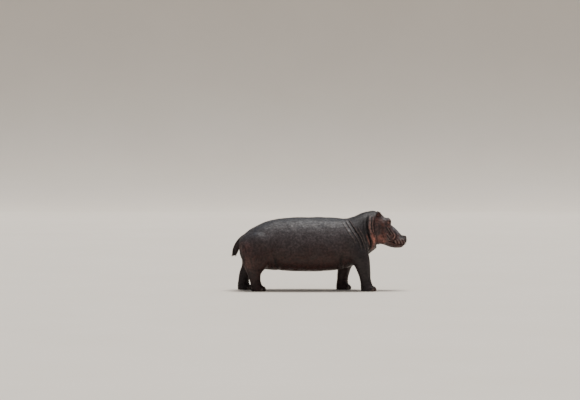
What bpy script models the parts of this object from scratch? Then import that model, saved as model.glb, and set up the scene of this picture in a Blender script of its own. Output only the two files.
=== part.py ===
"""A hippopotamus in mid walk, life size, as a still museum model.

It faces +X with its right side towards -Y, and stands on z = 0. Lengths are metres. The body is modelled
whole, as sections lofted along the spine and down each leg, fused into one surface. Thin cuts then part it
into the pieces that a person would name.
"""

import math
from collections import namedtuple

import bmesh
import bpy
import numpy as np
from mathutils import Matrix, Vector

# ---- driving dimensions ----
CUT = 0.0006  # width of the thin cuts between neighbouring pieces
EYE_RADIUS = 0.025
EYE_CENTRE = Vector((1.322, 0.168, 1.320))  # left eye; the right one mirrors it
SOLE_CUT_DEPTH = 0.03  # how far the leg lofts run on below the floor before they are trimmed level

# ---- mesh fineness ----
RING_POINTS = 40
RINGS_BETWEEN = 5
COARSE_VOXEL = 0.014
COARSE_SMOOTHING = 20  # rounds
FINE_VOXEL = 0.010
FINE_SMOOTHING = 6
BODY_TRIANGLES = 4350

Section = namedtuple("Section", "top bottom half_width widest crown keel")
# top and bottom: (x, z) in the side view. widest: how far up the section its widest level lies, as a share.
# crown and keel: superellipse powers of the upper and the lower half; 2 is an ellipse, more is boxier.
SPINE = {
    "rump end": Section((-1.552, 0.915), (-1.555, 0.770), 0.070, 0.50, 2.0, 2.0),
    "buttock": Section((-1.530, 0.985), (-1.545, 0.680), 0.180, 0.50, 2.0, 2.0),
    "rump": Section((-1.480, 1.040), (-1.515, 0.590), 0.275, 0.50, 2.1, 2.0),
    "tail root": Section((-1.400, 1.112), (-1.450, 0.510), 0.345, 0.50, 2.1, 2.0),
    "croup": Section((-1.270, 1.203), (-1.320, 0.440), 0.410, 0.48, 2.1, 2.0),
    "hip": Section((-1.080, 1.298), (-1.100, 0.405), 0.445, 0.46, 2.1, 2.0),
    "loin": Section((-0.850, 1.360), (-0.850, 0.385), 0.472, 0.42, 2.0, 2.3),
    "flank": Section((-0.580, 1.392), (-0.560, 0.370), 0.492, 0.40, 2.0, 2.3),
    "barrel": Section((-0.280, 1.398), (-0.260, 0.362), 0.505, 0.39, 2.0, 2.3),
    "girth": Section((0.020, 1.400), (0.050, 0.368), 0.500, 0.39, 2.0, 2.3),
    "rib": Section((0.280, 1.390), (0.330, 0.395), 0.472, 0.40, 2.0, 2.3),
    "withers": Section((0.480, 1.376), (0.580, 0.450), 0.432, 0.43, 2.1, 2.1),
    "shoulder": Section((0.620, 1.405), (0.770, 0.545), 0.390, 0.44, 2.1, 2.1),
    "neck base": Section((0.750, 1.460), (0.900, 0.660), 0.345, 0.45, 2.1, 2.1),
    "neck": Section((0.870, 1.500), (0.985, 0.735), 0.315, 0.46, 2.1, 2.1),
    "nape": Section((0.985, 1.516), (1.055, 0.790), 0.275, 0.46, 2.1, 2.1),
    "jowl": Section((1.070, 1.495), (1.110, 0.885), 0.258, 0.46, 2.5, 2.3),
    "temple": Section((1.160, 1.430), (1.170, 0.885), 0.245, 0.48, 2.8, 2.4),
    "brow": Section((1.270, 1.325), (1.250, 0.858), 0.220, 0.50, 3.2, 2.4),
    "under eye": Section((1.370, 1.238), (1.330, 0.828), 0.190, 0.44, 3.0, 2.4),
    "bridge": Section((1.455, 1.145), (1.410, 0.812), 0.182, 0.40, 2.7, 2.5),
    "muzzle back": Section((1.528, 1.068), (1.485, 0.812), 0.205, 0.42, 2.4, 2.6),
    "muzzle": Section((1.585, 1.034), (1.555, 0.820), 0.218, 0.46, 2.5, 2.6),
    "nose": Section((1.632, 1.012), (1.614, 0.858), 0.198, 0.50, 2.5, 2.4),
    "lip": Section((1.655, 0.985), (1.648, 0.900), 0.140, 0.50, 2.2, 2.2),
}

LegRing = namedtuple("LegRing", "z x y half_length half_width")
# In this stride the right fore leg reaches forward, the left fore leg is behind, the right hind leg is under
# the hip and the left hind leg trails, with all four soles on the floor.
FORE_LEVELS = (1.16, 1.10, 0.97, 0.82, 0.68, 0.56, 0.44, 0.32, 0.22, 0.14, 0.07, 0.0)
FORE_OUT = (0.250, 0.258, 0.280, 0.297, 0.303, 0.300, 0.295, 0.290, 0.288, 0.288, 0.290, 0.292)
FORE_HALF_LENGTH = (0.030, 0.150, 0.225, 0.245, 0.222, 0.178, 0.142, 0.118, 0.108, 0.112, 0.128, 0.138)
FORE_HALF_WIDTH = (0.030, 0.090, 0.130, 0.150, 0.152, 0.138, 0.122, 0.110, 0.104, 0.107, 0.120, 0.128)
FORE_REACHING_X = (0.560, 0.570, 0.595, 0.640, 0.708, 0.772, 0.812, 0.842, 0.862, 0.878, 0.896, 0.915)
FORE_BEHIND_X = (0.560, 0.570, 0.570, 0.560, 0.542, 0.515, 0.480, 0.452, 0.436, 0.430, 0.436, 0.448)

HIND_LEVELS = (1.18, 1.10, 0.95, 0.78, 0.62, 0.48, 0.36, 0.26, 0.16, 0.07, 0.0)
HIND_OUT = (0.230, 0.245, 0.275, 0.292, 0.295, 0.287, 0.278, 0.272, 0.270, 0.270, 0.270)
HIND_HALF_LENGTH = (0.030, 0.190, 0.310, 0.350, 0.318, 0.232, 0.148, 0.114, 0.106, 0.122, 0.132)
HIND_HALF_WIDTH = (0.030, 0.095, 0.155, 0.180, 0.180, 0.150, 0.115, 0.098, 0.098, 0.114, 0.122)
HIND_UNDER_X = (-1.060, -1.070, -1.120, -1.158, -1.182, -1.215, -1.250, -1.245, -1.222, -1.196, -1.178)
HIND_TRAILING_X = (-1.060, -1.070, -1.120, -1.160, -1.197, -1.270, -1.385, -1.440, -1.462, -1.458, -1.440)

TOE_ANGLES = (-54, -18, 18, 54)  # degrees from straight ahead
TOE_REACH = 0.74  # how far out the toes' centres lie, as a share of the foot
TOE_RADII = Vector((0.058, 0.041, 0.056))
NAIL_REACH = 1.04
NAIL_HEIGHT = 0.030
NAIL_RADII = Vector((0.022, 0.028, 0.030))

TailRing = namedtuple("TailRing", "x z half_depth half_width")
TAIL = (
    TailRing(-1.390, 1.040, 0.055, 0.050),
    TailRing(-1.450, 1.000, 0.056, 0.040),
    TailRing(-1.528, 0.935, 0.052, 0.033),
    TailRing(-1.578, 0.850, 0.052, 0.028),
    TailRing(-1.618, 0.755, 0.048, 0.020),
    TailRing(-1.646, 0.655, 0.014, 0.009),
)
TAIL_RING_POINTS = 10

EAR_BASE = Vector((1.118, 0.172, 1.385))  # left ear
EAR_AXIS = Vector((-0.05, 0.42, 0.90))
EAR_FACING = Vector((0.62, 0.72, 0.0))
EAR_LENGTH = 0.130
EAR_ROOT_HALF_WIDTH = 0.020
EAR_SWELLING = 0.036
EAR_CURL = 1.15  # radians from the middle of the cup to its rim
EAR_CUP = 0.026
EAR_THICKNESS = 0.013
EAR_ROWS = 8
EAR_COLUMNS = 7

Fold = namedtuple("Fold", "height width line")
# Folds of skin, as smooth lines in the side view. Height: how far the skin stands out (or, below zero, sinks
# in) along the line. Width: how far to either side this fades.
NECK_ROLL = (
    (0.965, 1.480),
    (0.955, 1.343),
    (0.940, 1.229),
    (0.962, 1.114),
    (1.000, 1.030),
    (1.022, 0.940),
    (1.010, 0.850),
    (0.975, 0.770),
)
BEHIND_THE_ROLL = (
    (0.895, 1.470),
    (0.888, 1.300),
    (0.890, 1.180),
    (0.912, 1.080),
    (0.945, 0.980),
    (0.965, 0.880),
    (0.940, 0.760),
)
BEHIND_THE_CHEEK = (
    (1.035, 1.440),
    (1.010, 1.330),
    (1.008, 1.230),
    (1.030, 1.130),
    (1.058, 1.040),
    (1.066, 0.950),
    (1.072, 0.870),
)
SHOULDER_FRONT = ((0.507, 1.400), (0.625, 1.210), (0.741, 1.044), (0.802, 0.897), (0.850, 0.740))
SHOULDER_BACK = ((0.440, 1.395), (0.560, 1.190), (0.672, 1.030), (0.738, 0.890), (0.780, 0.760))
FLANK = ((-0.760, 0.360), (-0.800, 0.470), (-0.830, 0.600), (-0.860, 0.760))
ELBOW = ((0.480, 0.400), (0.440, 0.520), (0.425, 0.660), (0.440, 0.800))
FOLDS = (
    Fold(0.016, 0.034, NECK_ROLL),
    Fold(-0.018, 0.026, BEHIND_THE_ROLL),
    Fold(-0.016, 0.024, BEHIND_THE_CHEEK),
    Fold(-0.014, 0.022, SHOULDER_FRONT),
    Fold(-0.010, 0.020, SHOULDER_BACK),
    Fold(-0.016, 0.045, FLANK),
    Fold(-0.014, 0.035, ELBOW),
)
FOLD_STEPS = 12
FOLD_END_SHARE = 0.12  # the share of a fold's line over which each of its ends fades out

# Swellings of the left half, mirrored for the right, as ellipsoids. Turn: degrees about the vertical.
Form = namedtuple("Form", "name centre radii turn", defaults=(0,))
BODY_FORMS = (
    Form("cheek", (1.190, 0.145, 1.050), (0.150, 0.100, 0.165)),
    Form("lip_pad", (1.515, 0.118, 0.930), (0.128, 0.100, 0.085)),
    Form("shoulder", (0.560, 0.290, 0.900), (0.240, 0.165, 0.300)),
    Form("haunch", (-1.090, 0.265, 0.850), (0.340, 0.205, 0.300)),
)
HEAD_FORMS = (
    Form("brow", (1.235, 0.118, 1.306), (0.125, 0.084, 0.070)),
    Form("orbit", (1.300, 0.134, 1.320), (0.055, 0.056, 0.067)),
    Form("eye_bag", (1.288, 0.126, 1.262), (0.066, 0.080, 0.085)),
    Form("nostril_rim", (1.598, 0.082, 1.010), (0.056, 0.048, 0.036), 20),
)

# ---- where the thin cuts run ----
UP = Vector((0, 0, 1))
LEG_INNER_WALL = 0.115  # the strip of brisket, belly and rump between the legs stays with the trunk
LEG_OUTER_WALL = 0.80
LegRegion = namedtuple("LegRegion", "top foot half_width")
# Each leg is taken off inside a bar with a round upper end, told in the side view.
LEG_REGIONS = {
    "fore_right": LegRegion((0.640, 0.860), (0.980, -0.300), 0.250),
    "fore_left": LegRegion((0.590, 0.860), (0.400, -0.300), 0.250),
    "hind_right": LegRegion((-1.180, 0.800), (-1.220, -0.300), 0.450),
    "hind_left": LegRegion((-1.200, 0.800), (-1.480, -0.300), 0.450),
}
LEG_PIECES = {"fore": ("shoulder", "forearm", "forefoot"), "hind": ("thigh", "shank", "hindfoot")}
KNEE_LEVEL = 0.330
ANKLE_LEVEL = 0.130
# Planes, as a point and the direction towards the head.
NECK_CUT = (Vector((0.678, 0, 1.062)), Vector((0.877, 0, 0.482)))  # along the crease in front of the shoulder
HEAD_CUT = (Vector((1.045, 0, 1.140)), Vector((0.993, 0, 0.115)))  # along the crease behind the cheek
JAW_TOP = ((0.95, 0.950), (1.30, 0.948), (1.44, 0.895), (1.56, 0.874), (1.80, 0.905))
JAW_OUTLINE = (*JAW_TOP, (1.80, 0.60), (0.95, 0.60))
JAW_HALF_WIDTH = 0.5

# ---- colours ----
SKIN_COLOUR = (0.075, 0.062, 0.062)
FACE_COLOUR = (0.115, 0.070, 0.060)
EYE_COLOUR = (0.020, 0.012, 0.008)


# ---- small tools ----
def material(name, colour, roughness):
    made = bpy.data.materials.new(name)
    made.use_nodes = True
    shader = made.node_tree.nodes["Principled BSDF"]
    shader.inputs["Base Color"].default_value = (*colour, 1)
    shader.inputs["Roughness"].default_value = roughness
    shader.inputs["Metallic"].default_value = 0
    made.diffuse_color = (*colour, 1)
    return made


def new_object(name, mesh):
    made = bpy.data.objects.new(name, mesh)
    bpy.context.scene.collection.objects.link(made)
    return made


def object_from(name, bm):
    mesh = bpy.data.meshes.new(name)
    bmesh.ops.recalc_face_normals(bm, faces=bm.faces)
    bm.to_mesh(mesh)
    bm.free()
    return new_object(name, mesh)


def settle(obj):
    """Applies the object's modifiers."""
    bpy.context.view_layer.update()
    graph = bpy.context.evaluated_depsgraph_get()
    mesh = bpy.data.meshes.new_from_object(obj.evaluated_get(graph))
    obj.modifiers.clear()
    old, obj.data = obj.data, mesh
    bpy.data.meshes.remove(old)
    return obj


def discard(*objects):
    for obj in objects:
        bpy.data.objects.remove(obj)


def merged(name, objects):
    """One object holding copies of these objects' meshes, as loose shells."""
    bm = bmesh.new()
    for obj in objects:
        start = len(bm.verts)
        bm.from_mesh(obj.data)
        bm.verts.ensure_lookup_table()
        bmesh.ops.transform(bm, matrix=obj.matrix_world, verts=bm.verts[start:])
    discard(*objects)
    mesh = bpy.data.meshes.new(name)
    bm.to_mesh(mesh)
    bm.free()
    return new_object(name, mesh)


def fuse(obj, voxel, smoothing):
    """Fuses overlapping shells into one surface and lets it flow together."""
    remesh = obj.modifiers.new("Fuse", "REMESH")
    remesh.mode = "VOXEL"
    remesh.voxel_size = voxel
    smooth = obj.modifiers.new("Flow", "SMOOTH")
    smooth.factor = 0.5
    smooth.iterations = smoothing
    return settle(obj)


def spline_rows(rows, between):
    """Rows of numbers interpolated by a Catmull-Rom spline, with this many steps from one row to the next."""
    rows = np.asarray(rows, float)
    ends = np.vstack([2 * rows[0] - rows[1], rows, 2 * rows[-1] - rows[-2]])
    made = []
    for i in range(len(rows) - 1):
        a, b, c, d = ends[i : i + 4]
        for t in np.arange(between) / between:
            bend = (2 * a - 5 * b + 4 * c - d) * t**2 + (3 * b - a - 3 * c + d) * t**3
            made.append(0.5 * (2 * b + (c - a) * t + bend))
    return [*made, rows[-1]]


def loft(name, rings):
    """A closed skin over rings of points, all with the same count."""
    bm = bmesh.new()
    loops = [[bm.verts.new(point) for point in ring] for ring in rings]
    for here, there in zip(loops, loops[1:]):
        for i in range(len(here)):
            j = (i + 1) % len(here)
            bm.faces.new((here[i], here[j], there[j], there[i]))
    bm.faces.new(loops[0])
    bm.faces.new(loops[-1])
    return object_from(name, bm)


def blob(name, centre, radii, turn=0.0):
    """An ellipsoid, turned about its vertical axis by this many degrees."""
    bm = bmesh.new()
    bmesh.ops.create_uvsphere(bm, u_segments=24, v_segments=16, radius=1)
    turned = Matrix.Rotation(math.radians(turn), 4, "Z") @ Matrix.Diagonal((*radii, 1))
    bmesh.ops.transform(bm, matrix=Matrix.Translation(centre) @ turned, verts=bm.verts)
    return object_from(name, bm)


def mirrored(point, side):
    """The point of the left side, or its mirror image where side is -1."""
    return Vector((point[0], side * point[1], point[2]))


# ---- the body in the round ----
def section_ring(row):
    top, bottom = Vector((row[0], 0, row[1])), Vector((row[2], 0, row[3]))
    half_width, widest, crown, keel = row[4:]
    height = (top - bottom).length
    up = (top - bottom) / height
    middle = bottom + up * height * widest
    ring = []
    for i in range(RING_POINTS):
        angle = math.tau * i / RING_POINTS
        across, rise = math.sin(angle), math.cos(angle)
        power = 2 / (crown if rise >= 0 else keel)
        reach = height * (1 - widest if rise >= 0 else widest)
        out = half_width * math.copysign(abs(across) ** power, across)
        ring.append(middle + Vector((0, out, 0)) + up * reach * math.copysign(abs(rise) ** power, rise))
    return ring


def body_loft():
    rows = [(*s.top, *s.bottom, s.half_width, s.widest, s.crown, s.keel) for s in SPINE.values()]
    return loft("body", [section_ring(row) for row in spline_rows(rows, RINGS_BETWEEN)])


def leg_loft(name, side, levels, xs, outs, half_lengths, half_widths):
    rows = [LegRing(*row) for row in zip(levels, xs, outs, half_lengths, half_widths)]
    rows.append(rows[-1]._replace(z=-SOLE_CUT_DEPTH))
    rings = []
    for z, x, y, half_length, half_width in spline_rows(rows, RINGS_BETWEEN):
        rings.append(
            [
                Vector((x + half_length * math.cos(a), side * (y + half_width * math.sin(a)), z))
                for a in (math.tau * i / RING_POINTS for i in range(RING_POINTS))
            ]
        )
    return loft(name, rings)


LEGS = {
    "fore_right": (-1, FORE_LEVELS, FORE_REACHING_X, FORE_OUT, FORE_HALF_LENGTH, FORE_HALF_WIDTH),
    "fore_left": (1, FORE_LEVELS, FORE_BEHIND_X, FORE_OUT, FORE_HALF_LENGTH, FORE_HALF_WIDTH),
    "hind_right": (-1, HIND_LEVELS, HIND_UNDER_X, HIND_OUT, HIND_HALF_LENGTH, HIND_HALF_WIDTH),
    "hind_left": (1, HIND_LEVELS, HIND_TRAILING_X, HIND_OUT, HIND_HALF_LENGTH, HIND_HALF_WIDTH),
}


def on_foot(leg, degrees, reach, height):
    """A point on the foot: degrees from straight ahead, and its reach as a share of the foot's half size."""
    side, _, xs, outs, half_lengths, half_widths = LEGS[leg]
    angle = math.radians(degrees)
    x = xs[-1] + reach * half_lengths[-1] * math.cos(angle)
    y = side * outs[-1] + reach * half_widths[-1] * math.sin(angle)
    return Vector((x, y, height))


def toes(leg):
    """Four rounded toes fanned round the front of the foot, each with its broad nail."""
    made = []
    for degrees in TOE_ANGLES:
        toe_place = on_foot(leg, degrees, TOE_REACH, 0.8 * TOE_RADII.z)
        nail_place = on_foot(leg, degrees, NAIL_REACH, NAIL_HEIGHT)
        made.append(blob("toe", toe_place, TOE_RADII, degrees))
        made.append(blob("nail", nail_place, NAIL_RADII, degrees))
    return made


def swellings(forms):
    """The blobs of these forms, on both sides."""
    blobs = []
    for form in forms:
        for side in (1, -1):
            blobs.append(blob(form.name, mirrored(form.centre, side), form.radii, side * form.turn))
    return blobs


def main_masses():
    """Barrel, neck, head and legs, fused with wide, soft joins."""
    legs = [leg_loft(name, *shape) for name, shape in LEGS.items()]
    masses = [body_loft(), *legs, *swellings(BODY_FORMS)]
    return fuse(merged("hippopotamus", masses), COARSE_VOXEL, COARSE_SMOOTHING)


def with_features(body):
    """Adds the smaller raised forms: brows, orbits, nostrils' rims and toes."""
    features = [body, *swellings(HEAD_FORMS)]
    for leg in LEGS:
        features += toes(leg)
    return fuse(merged("hippopotamus", features), FINE_VOXEL, FINE_SMOOTHING)


# ---- folds ----
def press_folds(obj):
    """Moves the skin along its normals by each fold's height, fading away from the fold's line."""
    mesh = obj.data
    count = len(mesh.vertices)
    points, normals = np.empty(count * 3), np.empty(count * 3)
    mesh.vertices.foreach_get("co", points)
    mesh.vertex_normals.foreach_get("vector", normals)
    points, normals = points.reshape(-1, 3), normals.reshape(-1, 3)
    rise = np.zeros(count)
    for fold in FOLDS:
        line = np.array(spline_rows(fold.line, FOLD_STEPS))
        reach = 3 * fold.width
        low, high = line.min(0) - reach, line.max(0) + reach
        side_view = points[:, (0, 2)]
        near = np.flatnonzero(((side_view > low) & (side_view < high)).all(1))
        gaps = np.linalg.norm(side_view[near, None] - line[None], axis=2)
        along = gaps.argmin(1) / (len(line) - 1)
        ends = np.clip(np.minimum(along, 1 - along) / FOLD_END_SHARE, 0, 1)
        rise[near] += fold.height * ends * np.exp(-((gaps.min(1) / fold.width) ** 2))
    moved = points + normals * rise[:, None]
    mesh.vertices.foreach_set("co", moved.ravel())
    mesh.update()


def thinned(obj, triangles):
    """The same surface with this many triangles."""
    decimate = obj.modifiers.new("Thin", "DECIMATE")
    decimate.ratio = triangles / sum(len(p.vertices) - 2 for p in obj.data.polygons)
    return settle(obj)


# ---- cuts ----
def half(obj, point, normal, outer):
    """The part of the object beyond the plane, or short of it, as a bmesh closed along the cut."""
    bm = bmesh.new()
    bm.from_mesh(obj.data)
    cut = bmesh.ops.bisect_plane(
        bm,
        geom=[*bm.verts, *bm.edges, *bm.faces],
        dist=1e-6,
        plane_co=point,
        plane_no=normal,
        clear_outer=not outer,
        clear_inner=outer,
    )
    rim = [e for e in cut["geom_cut"] if isinstance(e, bmesh.types.BMEdge) and e.is_boundary]
    bmesh.ops.triangle_fill(bm, edges=rim, use_beauty=True)
    bmesh.ops.recalc_face_normals(bm, faces=bm.faces)
    return bm


def trimmed(obj, point, normal):
    """Cuts away what lies beyond the plane."""
    bm = half(obj, point, normal, outer=False)
    bm.to_mesh(obj.data)
    bm.free()
    return obj


def parted(obj, point, normal, name):
    """Parts the object along the plane. What lies beyond comes back as a new object."""
    clearance = Vector(normal).normalized() * CUT / 2
    beyond = object_from(name, half(obj, Vector(point) + clearance, normal, outer=True))
    trimmed(obj, Vector(point) - clearance, normal)
    return beyond


def prism(name, outline, near, far):
    """A solid with this outline in the side view, from y = near to y = far."""
    bm = bmesh.new()
    face = bm.faces.new([bm.verts.new((x, near, z)) for x, z in outline])
    pushed = bmesh.ops.extrude_face_region(bm, geom=[face])
    moved = [g for g in pushed["geom"] if isinstance(g, bmesh.types.BMVert)]
    bmesh.ops.translate(bm, verts=moved, vec=(0, far - near, 0))
    return object_from(name, bm)


def boolean(obj, cutter, operation):
    step = obj.modifiers.new(operation.title(), "BOOLEAN")
    step.operation = operation
    step.solver = "EXACT"
    step.object = cutter
    return settle(obj)


def copy_of(obj, name, swell=0.0):
    made = new_object(name, obj.data.copy())
    if swell:
        displace = made.modifiers.new("Swell", "DISPLACE")
        displace.strength = swell
        displace.mid_level = 0
        settle(made)
    return made


def only_main_body(obj):
    """Drops the crumbs that a cut may leave beside the main shell."""
    bm = bmesh.new()
    bm.from_mesh(obj.data)
    left, shells = set(bm.verts), []
    while left:
        shell, todo = set(), [left.pop()]
        while todo:
            vert = todo.pop()
            shell.add(vert)
            near = {edge.other_vert(vert) for edge in vert.link_edges} & left
            left -= near
            todo += near
        shells.append(shell)
    shells.sort(key=len)
    for shell in shells[:-1]:
        bmesh.ops.delete(bm, geom=list(shell), context="VERTS")
    bm.to_mesh(obj.data)
    bm.free()
    return obj


def taken_out(body, name, outline, near, far):
    """Parts the body along a prism's walls: what lies inside comes back as a new object."""
    inner = prism("inner", outline, near, far)
    piece = boolean(copy_of(body, name), inner, "INTERSECT")
    outer = copy_of(inner, "outer", CUT)
    boolean(body, outer, "DIFFERENCE")
    discard(inner, outer)
    only_main_body(body)
    return only_main_body(piece)


def stadium(top, foot, half_width, steps=18):
    """The outline of a bar with a round upper end, as side-view points."""
    top, foot = Vector(top), Vector(foot)
    up = (top - foot).normalized()
    across = Vector((up.y, -up.x))
    arc = [
        top + half_width * (math.cos(a) * across + math.sin(a) * up)
        for a in (math.pi * i / steps for i in range(steps + 1))
    ]
    return [foot + half_width * across, *arc, foot - half_width * across]


def legs_taken_off(body):
    pieces = []
    for leg, region in LEG_REGIONS.items():
        pair, side = leg.split("_")
        sign = LEGS[leg][0]
        upper_name, lower_name, foot_name = (f"{name}_{side}" for name in LEG_PIECES[pair])
        walls = sorted((sign * LEG_INNER_WALL, sign * LEG_OUTER_WALL))
        foot = taken_out(body, foot_name, stadium(*region), *walls)
        lower = parted(foot, (0, 0, ANKLE_LEVEL), UP, lower_name)
        upper = parted(lower, (0, 0, KNEE_LEVEL), UP, upper_name)
        pieces += [only_main_body(piece) for piece in (upper, lower, foot)]
    return pieces


# ---- pieces made on their own ----
def tail():
    rows = spline_rows(TAIL, 4)
    rings = []
    for i, (x, z, depth, width) in enumerate(rows):
        before, after = rows[max(i - 1, 0)], rows[min(i + 1, len(rows) - 1)]
        along = Vector((after[0] - before[0], 0, after[1] - before[1])).normalized()
        across = Vector((-along.z, 0, along.x))
        rings.append(
            [
                Vector((x, 0, z)) + across * depth * math.cos(a) + Vector((0, width * math.sin(a), 0))
                for a in (math.tau * k / TAIL_RING_POINTS for k in range(TAIL_RING_POINTS))
            ]
        )
    return loft("tail", rings)


def ear_half_width(t):
    """Half the ear's width at this share of its length: narrow at the root, broad, then round at the tip."""
    swelling = math.sin(math.pi * min(1, 0.10 + 0.80 * t)) ** 0.8
    rounding = 1 if t < 0.7 else math.sqrt(max(0.0, 1 - ((t - 0.7) / 0.34) ** 2))
    return (EAR_ROOT_HALF_WIDTH + EAR_SWELLING * swelling) * rounding


def ear(name, side):
    """A cupped leaf of even thickness, opening forwards and outwards."""
    axis = mirrored(EAR_AXIS.normalized(), side)
    facing = mirrored(EAR_FACING, side)
    back = -(facing - axis * facing.dot(axis)).normalized()
    across = axis.cross(back)
    bm = bmesh.new()
    grid = []
    for t in np.linspace(0, 1, EAR_ROWS):
        row = []
        for s in np.linspace(-1, 1, EAR_COLUMNS):
            curl = s * EAR_CURL
            sideways = ear_half_width(t) * math.sin(curl) / math.sin(EAR_CURL)
            backwards = EAR_CUP * (1 - 0.55 * t) * (math.cos(curl) - 0.4)
            upwards = EAR_LENGTH * t * (1 - 0.06 * s * s)
            place = mirrored(EAR_BASE, side) + axis * upwards + across * sideways + back * backwards
            row.append(bm.verts.new(place))
        grid.append(row)
    for low, high in zip(grid, grid[1:]):
        for j in range(EAR_COLUMNS - 1):
            bm.faces.new((low[j], low[j + 1], high[j + 1], high[j]))
    made = object_from(name, bm)
    shell = made.modifiers.new("Shell", "SOLIDIFY")
    shell.thickness = EAR_THICKNESS
    shell.offset = 0
    return settle(made)


def fitted_to(piece, body):
    """Trims a piece's root to the body's surface, leaving a thin gap."""
    swollen = copy_of(body, "swollen", CUT)
    boolean(piece, swollen, "DIFFERENCE")
    discard(swollen)
    return only_main_body(piece)


def ball(name, centre, radius):
    bm = bmesh.new()
    bmesh.ops.create_uvsphere(bm, u_segments=14, v_segments=9, radius=radius)
    bmesh.ops.translate(bm, verts=bm.verts, vec=centre)
    return object_from(name, bm)


def eyes_set_in(body):
    pieces = []
    for name, side in (("eye_left", 1), ("eye_right", -1)):
        centre = mirrored(EYE_CENTRE, side)
        socket = ball("socket", centre, EYE_RADIUS + CUT)
        boolean(body, socket, "DIFFERENCE")
        discard(socket)
        pieces.append(ball(name, centre, EYE_RADIUS))
    return pieces


def centred_on_floor(objects):
    """Moves everything so that the origin is on the floor, below the middle of the whole."""
    corners = np.array([v.co for obj in objects for v in obj.data.vertices])
    middle = (corners.min(0) + corners.max(0)) / 2
    shift = Matrix.Translation((-middle[0], -middle[1], 0))
    for obj in objects:
        obj.data.transform(shift)


def main():
    discard(*bpy.data.objects)
    body = with_features(main_masses())
    press_folds(body)
    trimmed(thinned(body, BODY_TRIANGLES), (0, 0, 0), -UP)
    loose = (tail(), ear("ear_left", 1), ear("ear_right", -1))
    pieces = [fitted_to(piece, body) for piece in loose]
    eyes = eyes_set_in(body)
    pieces += legs_taken_off(body)
    body.name = "trunk"
    neck = parted(body, *NECK_CUT, "neck")
    head = parted(neck, *HEAD_CUT, "head")
    jaw = taken_out(head, "lower_jaw", JAW_OUTLINE, -JAW_HALF_WIDTH, JAW_HALF_WIDTH)
    pieces += [body, neck, head, jaw]
    skin, face_skin = material("skin", SKIN_COLOUR, 0.45), material("face_skin", FACE_COLOUR, 0.45)
    eye_gloss = material("eye", EYE_COLOUR, 0.08)
    for piece in pieces:
        on_face = piece.name.startswith(("head", "lower_jaw", "ear"))
        piece.data.materials.clear()
        piece.data.materials.append(face_skin if on_face else skin)
    for eye in eyes:
        eye.data.materials.append(eye_gloss)
    centred_on_floor(pieces + eyes)


main()
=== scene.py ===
import math

import bmesh
import bpy
import numpy as np
from mathutils import Matrix, Vector, noise
from mathutils.bvhtree import BVHTree
from mathutils.kdtree import KDTree


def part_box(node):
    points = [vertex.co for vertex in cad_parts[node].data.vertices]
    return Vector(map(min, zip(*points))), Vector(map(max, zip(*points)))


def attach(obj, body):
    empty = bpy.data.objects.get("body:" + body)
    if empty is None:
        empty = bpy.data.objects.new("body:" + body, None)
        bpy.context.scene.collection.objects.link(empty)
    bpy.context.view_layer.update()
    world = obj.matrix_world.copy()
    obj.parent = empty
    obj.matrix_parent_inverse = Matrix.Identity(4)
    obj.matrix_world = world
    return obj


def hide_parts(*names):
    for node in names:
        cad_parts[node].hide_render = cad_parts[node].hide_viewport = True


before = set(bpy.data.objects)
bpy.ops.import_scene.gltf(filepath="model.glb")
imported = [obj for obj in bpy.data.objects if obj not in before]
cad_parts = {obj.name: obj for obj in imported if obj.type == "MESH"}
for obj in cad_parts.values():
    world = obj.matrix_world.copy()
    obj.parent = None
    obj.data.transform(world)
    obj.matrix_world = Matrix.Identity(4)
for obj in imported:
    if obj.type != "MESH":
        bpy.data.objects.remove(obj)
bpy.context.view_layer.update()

# ---- what the frame says ----
EYES = ("eye_left", "eye_right")
FLESH = [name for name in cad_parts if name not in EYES]
LOFTED_ANEW = ("ear_left", "ear_right", "tail")  # too thin for the skin's remesh
FEET = [f"{which}foot_{side}" for which in ("fore", "hind") for side in ("left", "right")]
SOLE_TO_FRONT = 0.1585  # from the middle of a sole to the front of the foot's box
SIDES = (1, -1)  # the animal's left and its right
EYE_LOW, EYE_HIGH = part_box("eye_left")
EYE = (Vector(EYE_LOW) + Vector(EYE_HIGH)) / 2  # every place on the head is told from here
EYE_RADIUS = (EYE_HIGH[2] - EYE_LOW[2]) / 2
MUZZLE_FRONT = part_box("head")[1][0]
TAIL_TIP = Vector((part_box("tail")[0][0] + 0.013, 0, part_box("tail")[0][2] + 0.004))


def mirrored(point, side):
    return Vector((point[0], side * point[1], point[2]))


def from_eye(x, y, z):
    """A place on the left half of the head, told from the middle of the left eye."""
    return Vector((EYE.x + x, EYE.y + y, EYE.z + z))


def sole_middle(foot):
    low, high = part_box(foot)
    return Vector((high[0] - SOLE_TO_FRONT, (low[1] + high[1]) / 2, 0))


# ---- mesh tools ----
def placed(name, data):
    """A new object in the scene."""
    made = bpy.data.objects.new(name, data)
    bpy.context.scene.collection.objects.link(made)
    return made


def object_of(name, bm):
    """A new object of this mesh, with its faces turned outwards."""
    bmesh.ops.recalc_face_normals(bm, faces=bm.faces)
    mesh = bpy.data.meshes.new(name)
    bm.to_mesh(mesh)
    bm.free()
    return placed(name, mesh)


def quads(bm, rows, closed=False):
    """Faces between each row of points and the next."""
    made = []
    for here, there in zip(rows, rows[1:]):
        for i in range(len(here) - (not closed)):
            j = (i + 1) % len(here)
            made.append(bm.faces.new((here[i], here[j], there[j], there[i])))
    return made


def modify(obj, kind, **settings):
    """Applies a modifier of this kind to the object."""
    step = obj.modifiers.new(kind, kind)
    for key, value in settings.items():
        setattr(step, key, value)
    bpy.context.view_layer.update()
    graph = bpy.context.evaluated_depsgraph_get()
    mesh = bpy.data.meshes.new_from_object(obj.evaluated_get(graph))
    obj.modifiers.clear()
    obj.data = mesh


def shade_smooth(mesh):
    mesh.polygons.foreach_set("use_smooth", [True] * len(mesh.polygons))


def tree_of(obj):
    return BVHTree.FromObject(obj, bpy.context.evaluated_depsgraph_get())


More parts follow.
